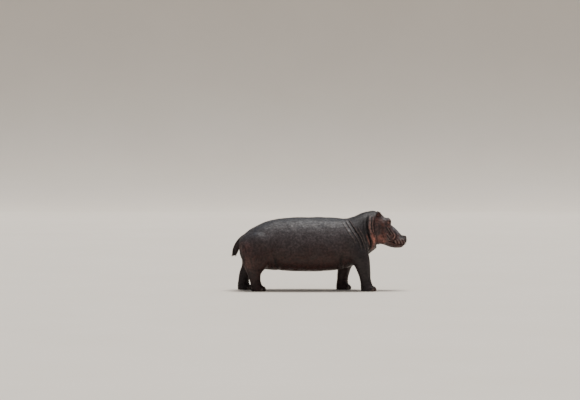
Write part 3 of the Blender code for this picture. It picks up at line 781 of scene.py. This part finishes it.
def press_creases(brush):
    """The mouth, the nostrils and all the grooves, folds and ridges."""
    brush.side_stroke(MOUTH, 0.0050, 0.012, taper=0.04, facing=0)
    brush.stroke_3d(NOSTRIL, 0.0095, 0.028, puff=0.26, taper=0.18)
    for width, depth, line in (*FACE_CREASES, *NECK_ROLLS, *NECK_FOLDS, *SHOULDER_CREASES):
        brush.side_stroke(line, width, depth)
    for width, depth, line in TRUNK_CREASES:
        brush.side_stroke(line, width, depth, puff=0.15, taper=0.45)
    for width, height, _, line in (*FACE_RIDGES, PINK_RIDGE):
        brush.side_stroke(line, width, -height)
    notch = THROAT_NOTCH + [mirrored(point, -1) for point in THROAT_NOTCH[-2::-1]]
    brush.stroke_3d(notch, 0.020, 0.034, puff=0.2, taper=0.3, sides=(1,))
    for line in ankle_folds():
        brush.stroke_3d(line, 0.008, 0.005, sides=(1,))
    for scale, depth in ORBIT_WRINKLES:
        for start in (0.05, 1.05):
            angles = np.linspace(start * math.pi, (start + 0.9) * math.pi, 9)
            brush.stroke_3d([lid_point(a, scale) for a in angles], 0.0026, depth)


def paint_skin(brush):
    """Where the skin is pink, paler with painted highlights, shiny with a painted sheen, or darker, mostly
    with painted shade, beyond the painted shade that the grooves lay down themselves.
    """
    for row in TINTS:
        brush.tint(*row)
    for row in ALL_ROUND_TINTS:
        brush.tint(*row, facing=0)
    # painted highlights on the ridges of the face
    for width, _, highlight_amount, line in FACE_RIDGES:
        brush.tint("pale", width, highlight_amount, line)
    # painted highlight beside each shoulder crease
    for _, _, line in SHOULDER_CREASES:
        brush.tint("pale", 0.008, 0.30, [(x + 0.020, z + 0.010) for x, z in line])
    # more painted shade in the two creases below the eye
    for _, _, line in BELOW_EYE_CREASES:
        brush.tint("crease", 0.012, 0.70, line)


def sculpt(obj):
    """Sculpts the skin, and returns what was painted on its points."""
    brush = Sculptor(obj)
    low = np.clip((brush.points[:, 2] - 0.06) / 0.2, 0, 1)
    head = np.clip((brush.points[:, 0] - EYE.x + 0.25) / 0.2, 0, 1)
    brush.lump(0.006, 0.16, 1.0, (1 - 0.7 * head) * low)
    brush.lump(0.0016, 0.050, 2.0, (1 - 0.5 * head) * low)
    brush.lump(0.0006, 0.018, 3.0, low)
    press_creases(brush)
    paint_skin(brush)
    return brush.done()


def thinned(obj, painted, triangles):
    """Thins the skin where it is smoothest, and carries what was painted on its points over."""
    before = KDTree(len(obj.data.vertices))
    for i, vert in enumerate(obj.data.vertices):
        before.insert(vert.co, i)
    before.balance()
    kept = obj.vertex_groups.new(name="kept")
    near = near_point(points_of(obj.data), EYE, KEPT_ROUND_EYE)
    kept.add(np.flatnonzero(near).tolist(), 1.0, "REPLACE")
    share = triangles / sum(len(face.vertices) - 2 for face in obj.data.polygons)
    modify(obj, "DECIMATE", vertex_group="kept", invert_vertex_group=True, ratio=share)
    carried = painted[[before.find(vert.co)[1] for vert in obj.data.vertices]]
    for column, name in enumerate(CHANNELS):
        layer = obj.data.attributes.new(name, "FLOAT", "POINT")
        layer.data.foreach_set("value", carried[:, column].astype(np.float32))


def unwrap(obj):
    """Gives the skin the unwrap that the bristles share."""
    layer = obj.data.uv_layers.new(name="OFBake")
    obj.data.uv_layers.active = layer
    bpy.context.view_layer.objects.active = obj
    obj.select_set(True)
    bpy.ops.object.mode_set(mode="EDIT")
    bpy.ops.mesh.select_all(action="SELECT")
    bpy.ops.uv.smart_project(angle_limit=math.radians(66), island_margin=0.002)
    bpy.ops.object.mode_set(mode="OBJECT")
    obj.select_set(False)


# ---- nails ----
NAIL_ANGLES = (-54, -18, 18, 54)  # degrees from straight ahead
NAIL_HALF_WIDTH = 0.024
NAIL_LEVELS = (0.004, 0.060)
NAIL_THICKNESS = 0.0035
NAIL_EDGE = 0.0004  # how far a nail's edge stands off the skin
NAIL_ROOT = 0.004  # how deep its back lies in the skin
NAIL_STEPS = 14


def border(rows):
    """The points round a grid's edge."""
    first, last = rows[0], rows[-1]
    between = rows[1:-1]
    return [*first, *(row[-1] for row in between), *last[::-1], *(row[0] for row in between[::-1])]


def nail(bm, tree, foot, degrees):
    """A broad plate over the front of one toe, thickest down its middle and rounded at the top."""
    centre = sole_middle(foot)
    ahead = Vector((math.cos(math.radians(degrees)), math.sin(math.radians(degrees)), 0))
    across = Vector((-ahead.y, ahead.x, 0))
    outer, inner = [], []
    for i in range(NAIL_STEPS + 1):
        v = i / NAIL_STEPS
        level = NAIL_LEVELS[0] + (NAIL_LEVELS[1] - NAIL_LEVELS[0]) * v
        width = NAIL_HALF_WIDTH * math.sqrt(max(0.02, 1 - max(0, (v - 0.45) / 0.56) ** 2))
        outer.append([])
        inner.append([])
        for k in range(NAIL_STEPS + 1):
            u = 2 * k / NAIL_STEPS - 1
            start = centre + ahead * 0.30 + across * width * u + Vector((0, 0, level))
            hit = tree.ray_cast(start, -ahead)[0]
            crown = (1 - u**4) * (1 - max(0, 2 * v - 1) ** 4) ** 0.5
            outer[-1].append(bm.verts.new(hit + ahead * (NAIL_THICKNESS * crown + NAIL_EDGE)))
            inner[-1].append(bm.verts.new(hit - ahead * NAIL_ROOT))
    quads(bm, inner)
    quads(bm, outer)
    quads(bm, [border(outer), border(inner)], closed=True)


def nails(tree):
    bm = bmesh.new()
    for foot in FEET:
        for degrees in NAIL_ANGLES:
            nail(bm, tree, foot, degrees)
    made = object_of("nails", bm)
    shade_smooth(made.data)
    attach(made, "root")
    return made


# ---- bristles ----
BRISTLE_SIDES = 3
BRISTLE_STEPS = 4
BRISTLE_PATCH = 0.0012  # how large one bristle's face is in the unwrap
SAG = Vector((-0.05, 0, -0.22))  # how far a bristle's tip bends, as a share of its length
LIP_BRISTLES = 520
EAR_BRISTLES = 46  # on each edge of each ear
TAIL_BRISTLES = 300
# Each kind's lean, length and thickness.
LIP_HAIR = (Vector((0.3, 0, -0.2)), 0.026, 0.0007)
EAR_HAIR = (Vector((0, 0, 0.2)), 0.022, 0.0005)
TAIL_HAIR = (Vector((-0.9, 0, -3.2)), 0.042, 0.0007)


def bristle(bm, uv, root, along, length, thickness, patch):
    """One stiff hair: a thin cone from inside the skin, bent as it goes."""
    side = along.orthogonal().normalized()
    other = along.cross(side)
    turns = [math.tau * k / BRISTLE_SIDES for k in range(BRISTLE_SIDES)]
    rings = []
    for step in range(BRISTLE_STEPS + 1):
        t = step / BRISTLE_STEPS
        centre = root + along * length * (t - 0.06) + SAG * length * t * t
        size = thickness * (1 - 0.85 * t)
        ring = [centre + (side * math.cos(a) + other * math.sin(a)) * size for a in turns]
        rings.append([bm.verts.new(point) for point in ring])
    for face in (bm.faces.new(rings[0][::-1]), bm.faces.new(rings[-1]), *quads(bm, rings, closed=True)):
        for i, loop in enumerate(face.loops):
            turn = math.tau * i / len(face.loops)
            loop[uv].uv = patch + BRISTLE_PATCH * Vector((math.cos(turn), math.sin(turn)))


def surface_uv(mesh, tree, point):
    """The nearest place on the skin, its normal, and its place on the skin's unwrap."""
    spot, normal, face, _ = tree.find_nearest(point)
    loop = mesh.polygons[face].loop_start
    return spot, normal, Vector(mesh.uv_layers["OFBake"].data[loop].uv)


def bristles(obj, tree):
    """Sparse stiff hairs on the lips, fringes on the ears and a thin brush on the end of the tail."""
    rng = np.random.default_rng(7)
    bm = bmesh.new()
    uv = bm.loops.layers.uv.new("OFBake")

    def grow(point, lean, length, thickness):
        spot, normal, patch = surface_uv(obj.data, tree, point)
        along = (normal + lean + 0.18 * Vector(rng.normal(size=3))).normalized()
        bristle(bm, uv, spot, along, length * rng.uniform(0.6, 1.0), thickness, patch)

    for _ in range(LIP_BRISTLES):
        side = rng.choice(SIDES)
        turn = rng.uniform(-0.5, 1.0)
        x = MUZZLE_FRONT - 0.09 + 0.13 * math.sin(turn)
        y = side * (0.05 + 0.20 * rng.uniform(0.1, 1) ** 0.7)
        z = EYE.z - 0.375 - 0.085 * rng.uniform(-1, 1)
        grow(Vector((x, y, z)), *LIP_HAIR)
    for side in SIDES:
        for edge in (-1, 1):
            for t in np.linspace(0.15, 1.0, EAR_BRISTLES):
                point = ear_point(side, t, edge)
                away = (point - ear_point(side, 0.4, 0)).normalized()
                grow(point, away * 1.2 + EAR_HAIR[0], *EAR_HAIR[1:])
    for t in rng.uniform(0, 1, TAIL_BRISTLES):
        up = 0.15 * t**1.5
        edge = rng.choice(SIDES)
        place = Vector((0.012 + 0.33 * up + edge * 0.040, rng.normal() * 0.006, 0.005 + up))
        grow(TAIL_TIP + place, *TAIL_HAIR)
    made = object_of("bristles", bm)
    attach(made, "root")
    return made


# ---- materials ----
def colour(*parts):
    """An sRGB colour, told as red, green and blue from 0 to 255, as the shader wants it."""
    shares = [part / 255 for part in parts]
    return (*(s / 12.92 if s <= 0.04045 else ((s + 0.055) / 1.055) ** 2.4 for s in shares), 1.0)


HIDE = colour(61, 53, 55)
HIDE_PAINTED_SKY_SHEEN = colour(40, 41, 47)
# a darker tone for the neck, which is also the painted shade on the crown and the rump
HIDE_NECK_AND_SHADE = colour(27, 24, 27)
HIDE_LOW_RED_AND_SHADE = colour(38, 9, 4)
HIDE_FACE = colour(80, 43, 36)
HIDE_PINK = colour(158, 100, 88)
HIDE_PAINTED_HIGHLIGHT = colour(140, 120, 113)
HIDE_PAINTED_SHINE = colour(98, 101, 108)
# the colour of the painted shade in creases, hollows and cracks, and of other places painted darker
HIDE_DARK_AND_SHADE = colour(6, 3, 3)
# Between which places along the animal, or levels, one colour of the hide passes into the next.
# BELLY_LEVELS: where the hide turns red-brown and darker, with painted shade, towards the belly
BELLY_LEVELS = (1.02, 0.62)
# RUMP: where the painted shade on the rump sets in
RUMP = (EYE.x - 2.45, EYE.x - 2.80)
# NECK_START and NECK_END: the darker neck, reaching over the crown, where it is painted shade
NECK_START = (EYE.x - 0.90, EYE.x - 0.55)
NECK_END = (EYE.x - 0.22, EYE.x - 0.36)
FACE_START = (EYE.x - 0.42, EYE.x - 0.18)
# GREY_END: where the painted sky sheen on top thins out towards the head
GREY_END = (EYE.x - 0.55, EYE.x - 0.15)
# Told from the middle of the eye's front: the edges of the pupil, the iris and the white.
PUPIL_EDGE = (0.0084, 0.0073)
IRIS_EDGE = (0.011, 0.0145)
WHITE_EDGE = (0.0145, 0.0165)


class Nodes:
    """A short way to write a material's nodes. Most methods return a new node's output."""

    def __init__(self, name):
        self.material = bpy.data.materials.new(name)
        self.material.use_nodes = True
        self.tree = self.material.node_tree
        self.place = self.add("ShaderNodeTexCoord").outputs["Object"]

    def add(self, kind, settings=None, **inputs):
        """A new node. Its inputs are told by name, or by number as i0, i1 and so on."""
        node = self.tree.nodes.new(kind)
        for key, value in (settings or {}).items():
            setattr(node, key, value)
        self.feed(node, **inputs)
        return node

    def feed(self, node, **inputs):
        """Links each output to its input, or sets the input to a value."""
        for key, value in inputs.items():
            by_number = key.startswith("i") and key[1:].isdigit()
            socket = node.inputs[int(key[1:]) if by_number else key.replace("_", " ")]
            if isinstance(value, bpy.types.NodeSocket):
                self.tree.links.new(value, socket)
            else:
                socket.default_value = value

    def surface(self, **inputs):
        """Feeds the shader, and returns the material."""
        self.feed(self.tree.nodes["Principled BSDF"], **inputs)
        return self.material

    def math(self, operation, a, b=0.0, clamp=False):
        return self.add("ShaderNodeMath", {"operation": operation, "use_clamp": clamp}, i0=a, i1=b).outputs[0]

    def plus(self, a, b):
        return self.math("ADD", a, b)

    def times(self, a, b):
        return self.math("MULTIPLY", a, b)

    def stirred(self, value, noise, amount):
        """The value, moved up and down with a noise."""
        return self.plus(value, self.times(self.math("SUBTRACT", noise, 0.5), amount))

    def vector(self, operation, a, b):
        return self.add("ShaderNodeVectorMath", {"operation": operation}, i0=a, i1=b)

    def split(self, vector):
        """The x, y and z of a vector."""
        return self.add("ShaderNodeSeparateXYZ", Vector=vector).outputs

    def painted(self, channel):
        return self.add("ShaderNodeAttribute", {"attribute_name": channel}).outputs["Fac"]

    def ramp(self, value, low, high, out_low=0.0, out_high=1.0):
        """The value from low to high, mapped smoothly onto the two outputs."""
        settings = {"interpolation_type": "SMOOTHSTEP"}
        ends = {"From_Min": low, "From_Max": high, "To_Min": out_low, "To_Max": out_high}
        return self.add("ShaderNodeMapRange", settings, Value=value, **ends).outputs[0]

    def mix(self, factor, a, b, blend="MIX"):
        settings = {"data_type": "RGBA", "blend_type": blend}
        return self.add("ShaderNodeMix", settings, i0=factor, i6=a, i7=b).outputs[2]

    def noise(self, scale, detail=4.0, roughness=0.55, place=None, output="Fac"):
        inputs = {"Scale": scale, "Detail": detail, "Roughness": roughness}
        return self.add("ShaderNodeTexNoise", Vector=place or self.place, **inputs).outputs[output]

    def cracks(self, place, scale):
        settings = {"feature": "DISTANCE_TO_EDGE"}
        return self.add("ShaderNodeTexVoronoi", settings, Vector=place, Scale=scale).outputs["Distance"]

    def bump(self, height, distance, strength, below=None):
        inputs = {"Distance": distance, "Strength": strength}
        if below:
            inputs["Normal"] = below
        return self.add("ShaderNodeBump", Height=height, **inputs).outputs[0]


def skin_material():
    """Thick wet hide: slate brown, with a painted grey sky sheen on top, redder and darker below with painted
    shade, redder in the folds, with painted shade in creases and painted highlights on ridges, finely cracked
    all over.
    """
    net = Nodes("hide")
    x, _, z = net.split(net.place)
    ahead, _, up = net.split(net.add("ShaderNodeNewGeometry").outputs["Normal"])
    crease, pink, pale, shine = (net.painted(channel) for channel in CHANNELS)
    patchy = net.noise(11.0, 5.0, 0.6)
    grainy = net.noise(24.0, 3.0, 0.7)
    speckle = net.noise(90.0, 3.0, 0.7)
    warped = net.mix(0.035, net.place, net.noise(14.0, 3.0, 0.5, output="Color"))
    wide_cracks = net.cracks(warped, 46.0)
    fine_cracks = net.cracks(warped, 120.0)
    # top: where the skin faces up, which gets the painted sky sheen
    top = net.ramp(net.stirred(up, patchy, 0.7), 0.30, 1.0)
    # low: towards the belly, which gets the red-brown tone and painted shade
    low = net.ramp(net.stirred(z, net.noise(3.0, 3.0), 0.5), *BELLY_LEVELS)
    neck = net.times(net.ramp(x, *NECK_START), net.ramp(x, *NECK_END))
    # painted shade on the rump, less where it faces up
    rump_shade = net.times(net.ramp(x, *RUMP), net.ramp(up, 0.85, 0.45))
    ruddy = net.times(net.ramp(patchy, 0.35, 0.70, 0.35, 0.95), net.ramp(top, 0.15, 0.70, 1.0, 0.15))
    ruddy = net.times(ruddy, net.ramp(ahead, 0.35, 0.80, 1.0, 0.30))
    layers = (
        # painted sky sheen on upward faces, thinner on the head
        (net.times(top, net.ramp(x, *GREY_END, 1.0, 0.35)), HIDE_PAINTED_SKY_SHEEN),
        # red-brown tone and painted shade towards the belly
        (net.times(low, 0.92), HIDE_LOW_RED_AND_SHADE),
        # darker neck, with painted shade on the crown
        (net.times(neck, 0.75), HIDE_NECK_AND_SHADE),
        # painted shade on the rump
        (net.times(rump_shade, 0.65), HIDE_NECK_AND_SHADE),
        (net.times(net.ramp(x, *FACE_START), ruddy), HIDE_FACE),
        (net.times(pink, net.ramp(patchy, 0.3, 0.7, 0.65, 1.0)), HIDE_PINK),
        # painted highlights on ridges and rolls, and behind the eye
        (net.times(pale, net.ramp(patchy, 0.3, 0.7, 0.7, 1.0)), HIDE_PAINTED_HIGHLIGHT),
        # painted sheen along the bridge of the nose
        (net.times(shine, net.ramp(patchy, 0.3, 0.7, 0.6, 1.0)), HIDE_PAINTED_SHINE),
        # painted shade in the creases and hollows, and other places painted darker
        (net.times(crease, 0.9), HIDE_DARK_AND_SHADE),
        # painted shade along the wide cracks
        (net.times(net.ramp(wide_cracks, 0.0, 0.1, 1.0, 0.0), 0.35), HIDE_DARK_AND_SHADE),
    )
    base = HIDE
    for share, tone in layers:
        base = net.mix(share, base, tone)
    base = net.mix(1.0, base, net.ramp(speckle, 0.3, 0.7, 0.86, 1.12), "MULTIPLY")
    base = net.mix(1.0, base, net.ramp(patchy, 0.3, 0.7, 0.80, 1.20), "MULTIPLY")
    base = net.mix(1.0, base, net.ramp(grainy, 0.32, 0.68, 0.60, 1.50), "MULTIPLY")
    rough = net.plus(net.ramp(patchy, 0.3, 0.7, -0.09, 0.11), net.ramp(fine_cracks, 0.0, 0.25, 0.10, 0.0))
    rough = net.plus(rough, net.ramp(grainy, 0.32, 0.68, 0.14, -0.12))
    rough = net.plus(rough, net.times(crease, 0.25))
    rough = net.plus(rough, net.ramp(ahead, -0.35, -0.80, 0.0, 0.30))
    rough = net.math("SUBTRACT", rough, net.times(shine, 0.08))
    relief = net.bump(net.noise(26.0, 3.0, 0.5), 0.0026, 0.8)
    relief = net.bump(net.ramp(wide_cracks, 0.0, 0.22), 0.0017, 0.7, relief)
    relief = net.bump(net.ramp(fine_cracks, 0.0, 0.35), 0.0010, 0.5, relief)
    relief = net.bump(speckle, 0.0008, 0.6, relief)
    finish = {"Specular_IOR_Level": 0.30, "Coat_Weight": 0.12, "Coat_Roughness": 0.42}
    return net.surface(Base_Color=base, Roughness=net.math("ADD", rough, 0.48, True), Normal=relief, **finish)


def eye_material(side):
    """Dark brown iris with a wide pupil, wet all over."""
    net = Nodes("wet_eye_" + ("left" if side > 0 else "right"))
    _, across, up = eye_axes(side)
    spoke = net.vector("SUBTRACT", net.place, mirrored(EYE, side)).outputs[0]
    wide = net.vector("DOT_PRODUCT", spoke, across).outputs["Value"]
    high = net.vector("DOT_PRODUCT", spoke, up).outputs["Value"]

    def length(a, b):
        return net.math("SQRT", net.plus(net.times(a, a), net.times(b, b)))

    ring = length(wide, high)
    pupil = length(net.times(wide, 0.68), net.times(high, 1.15))
    streaks = net.noise(420.0, 3.0, 0.6)
    iris = net.mix(streaks, colour(30, 16, 9), colour(72, 44, 25))
    iris = net.mix(net.ramp(ring, *IRIS_EDGE), iris, colour(24, 13, 9))
    white = net.mix(streaks, colour(62, 42, 33), colour(92, 68, 56))
    base = net.mix(net.ramp(ring, *WHITE_EDGE), iris, white)
    base = net.mix(net.ramp(pupil, *PUPIL_EDGE), base, (0.004, 0.003, 0.003, 1.0))
    finish = {"Specular_IOR_Level": 0.2, "Coat_Weight": 0.30, "Coat_Roughness": 0.03}
    return net.surface(Base_Color=base, Roughness=0.25, **finish)


def nail_material():
    """Dull horn, ridged lengthwise and worn paler at the edge that meets the ground."""
    net = Nodes("horn")
    stretched = net.vector("MULTIPLY", net.place, (1, 1, 0.12)).outputs[0]
    ridges = net.noise(260.0, 3.0, 0.6, stretched)
    blotch = net.noise(40.0, 4.0, 0.6)
    worn = net.times(net.ramp(net.split(net.place)["Z"], 0.026, 0.004), blotch)
    base = net.mix(worn, net.mix(ridges, colour(44, 34, 30), colour(84, 69, 60)), colour(112, 96, 82))
    rough = net.ramp(blotch, 0.3, 0.7, 0.38, 0.58)
    return net.surface(Base_Color=base, Roughness=rough, Normal=net.bump(ridges, 0.0012, 0.7))


def bristle_material():
    net = Nodes("bristle")
    tone = net.noise(60.0, 2.0)
    base = net.mix(tone, colour(28, 20, 17), colour(78, 60, 50))
    return net.surface(Base_Color=base, Roughness=net.ramp(tone, 0.3, 0.7, 0.42, 0.6))


def floor_material():
    net = Nodes("studio_floor")
    base = net.mix(net.noise(0.35, 3.0), colour(222, 214, 203), colour(230, 223, 213))
    return net.surface(Base_Color=base, Roughness=net.ramp(net.noise(5.0), 0.3, 0.7, 0.72, 0.85))


# ---- studio ----
FLOOR_HALF_WIDTH = 60.0
FLOOR_FRONT = -70.0
FLOOR_BACK = 38.0
SWEEP_RADIUS = 8.0
SWEEP_STEPS = 24
WALL_TOP = 26.0
SUN_POWER = 4.05
SUN_COLOUR = (1.0, 0.97, 0.93)
SUN_ANGLE = math.radians(30)  # how wide the sun is, which softens its shadows
SUN_DIRECTION = Vector((-0.14, -0.10, -1.0))
SKY_COLOUR = (0.86, 0.87, 0.90, 1.0)
SKY_POWER = 0.34
CAMERA_AWAY = 60.0
CAMERA_TILT = math.radians(2.0)
CAMERA_REACH = 400.0
FRAME_WIDTH = 11.05  # metres across the picture, at the animal
AIM = Vector((EYE.x - 1.893, 0, EYE.z + 0.404))
SENSOR = 36.0


def floor():
    """A wide floor that sweeps up behind into a wall."""
    profile = [(FLOOR_FRONT, 0.0), (0.0, 0.0)]
    for turn in np.linspace(0, math.pi / 2, SWEEP_STEPS + 1):
        profile.append((FLOOR_BACK + SWEEP_RADIUS * math.sin(turn), SWEEP_RADIUS * (1 - math.cos(turn))))
    profile.append((FLOOR_BACK + SWEEP_RADIUS, WALL_TOP))
    bm = bmesh.new()
    rows = [[bm.verts.new((x, y, z)) for x in (-FLOOR_HALF_WIDTH, FLOOR_HALF_WIDTH)] for y, z in profile]
    quads(bm, rows)
    made = object_of("floor", bm)
    shade_smooth(made.data)
    made.data.materials.append(floor_material())


def lights():
    """A broad soft key from above and behind, and a pale even world."""
    sun = bpy.data.lights.new("key", "SUN")
    sun.angle = SUN_ANGLE
    sun.energy = SUN_POWER
    sun.color = SUN_COLOUR
    placed("key", sun).rotation_euler = SUN_DIRECTION.to_track_quat("-Z", "Y").to_euler()
    world = bpy.data.worlds.new("studio")
    world.use_nodes = True
    world.node_tree.nodes["Background"].inputs["Color"].default_value = SKY_COLOUR
    world.node_tree.nodes["Background"].inputs["Strength"].default_value = SKY_POWER
    bpy.context.scene.world = world


def camera():
    """Square to the animal's right side, a long way off and a little above it, with much floor in view."""
    data = bpy.data.cameras.new("camera")
    data.sensor_width = SENSOR
    data.lens = SENSOR * CAMERA_AWAY / FRAME_WIDTH
    data.clip_end = CAMERA_REACH
    made = placed("camera", data)
    back = Vector((0, -math.cos(CAMERA_TILT), math.sin(CAMERA_TILT)))
    made.location = AIM + back * CAMERA_AWAY
    made.rotation_euler = (-back).to_track_quat("-Z", "Y").to_euler()
    bpy.context.scene.camera = made


# ---- building ----
SKIN_TRIANGLES = 192_000
FINER_ROUNDS = (1, 0.75, 0.52)  # each splits the fine parts' faces again, over this share of their reach


def hide():
    """The animal's skin in one piece, from the solids to the thinned and unwrapped mesh."""
    skin = skin_base()
    swell(skin.data)
    bare = tree_of(skin)
    grown = [ear(side) for side in SIDES] + [tail()]
    grown_trees = [tree_of(each) for each in grown]
    join(skin, grown)
    soften_seams(skin.data, bare, grown_trees)
    cover_eyeballs(skin.data)
    refine(skin.data, near_trunk_creases)
    for share in FINER_ROUNDS:
        refine(skin.data, near_fine_parts(share))
        relax(skin.data, 2)
    shape_lids(skin.data)
    thinned(skin, sculpt(skin), SKIN_TRIANGLES)
    shade_smooth(skin.data)
    unwrap(skin)
    skin.data.materials.clear()
    skin.data.materials.append(skin_material())
    return skin


camera()
lights()
floor()
skin = hide()
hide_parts(*FLESH)
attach(skin, "root")
for name, side in zip(EYES, SIDES):
    eyeball(name, side).data.materials.append(eye_material(side))
skin_tree = tree_of(skin)
nails(skin_tree).data.materials.append(nail_material())
bristles(skin, skin_tree).data.materials.append(bristle_material())
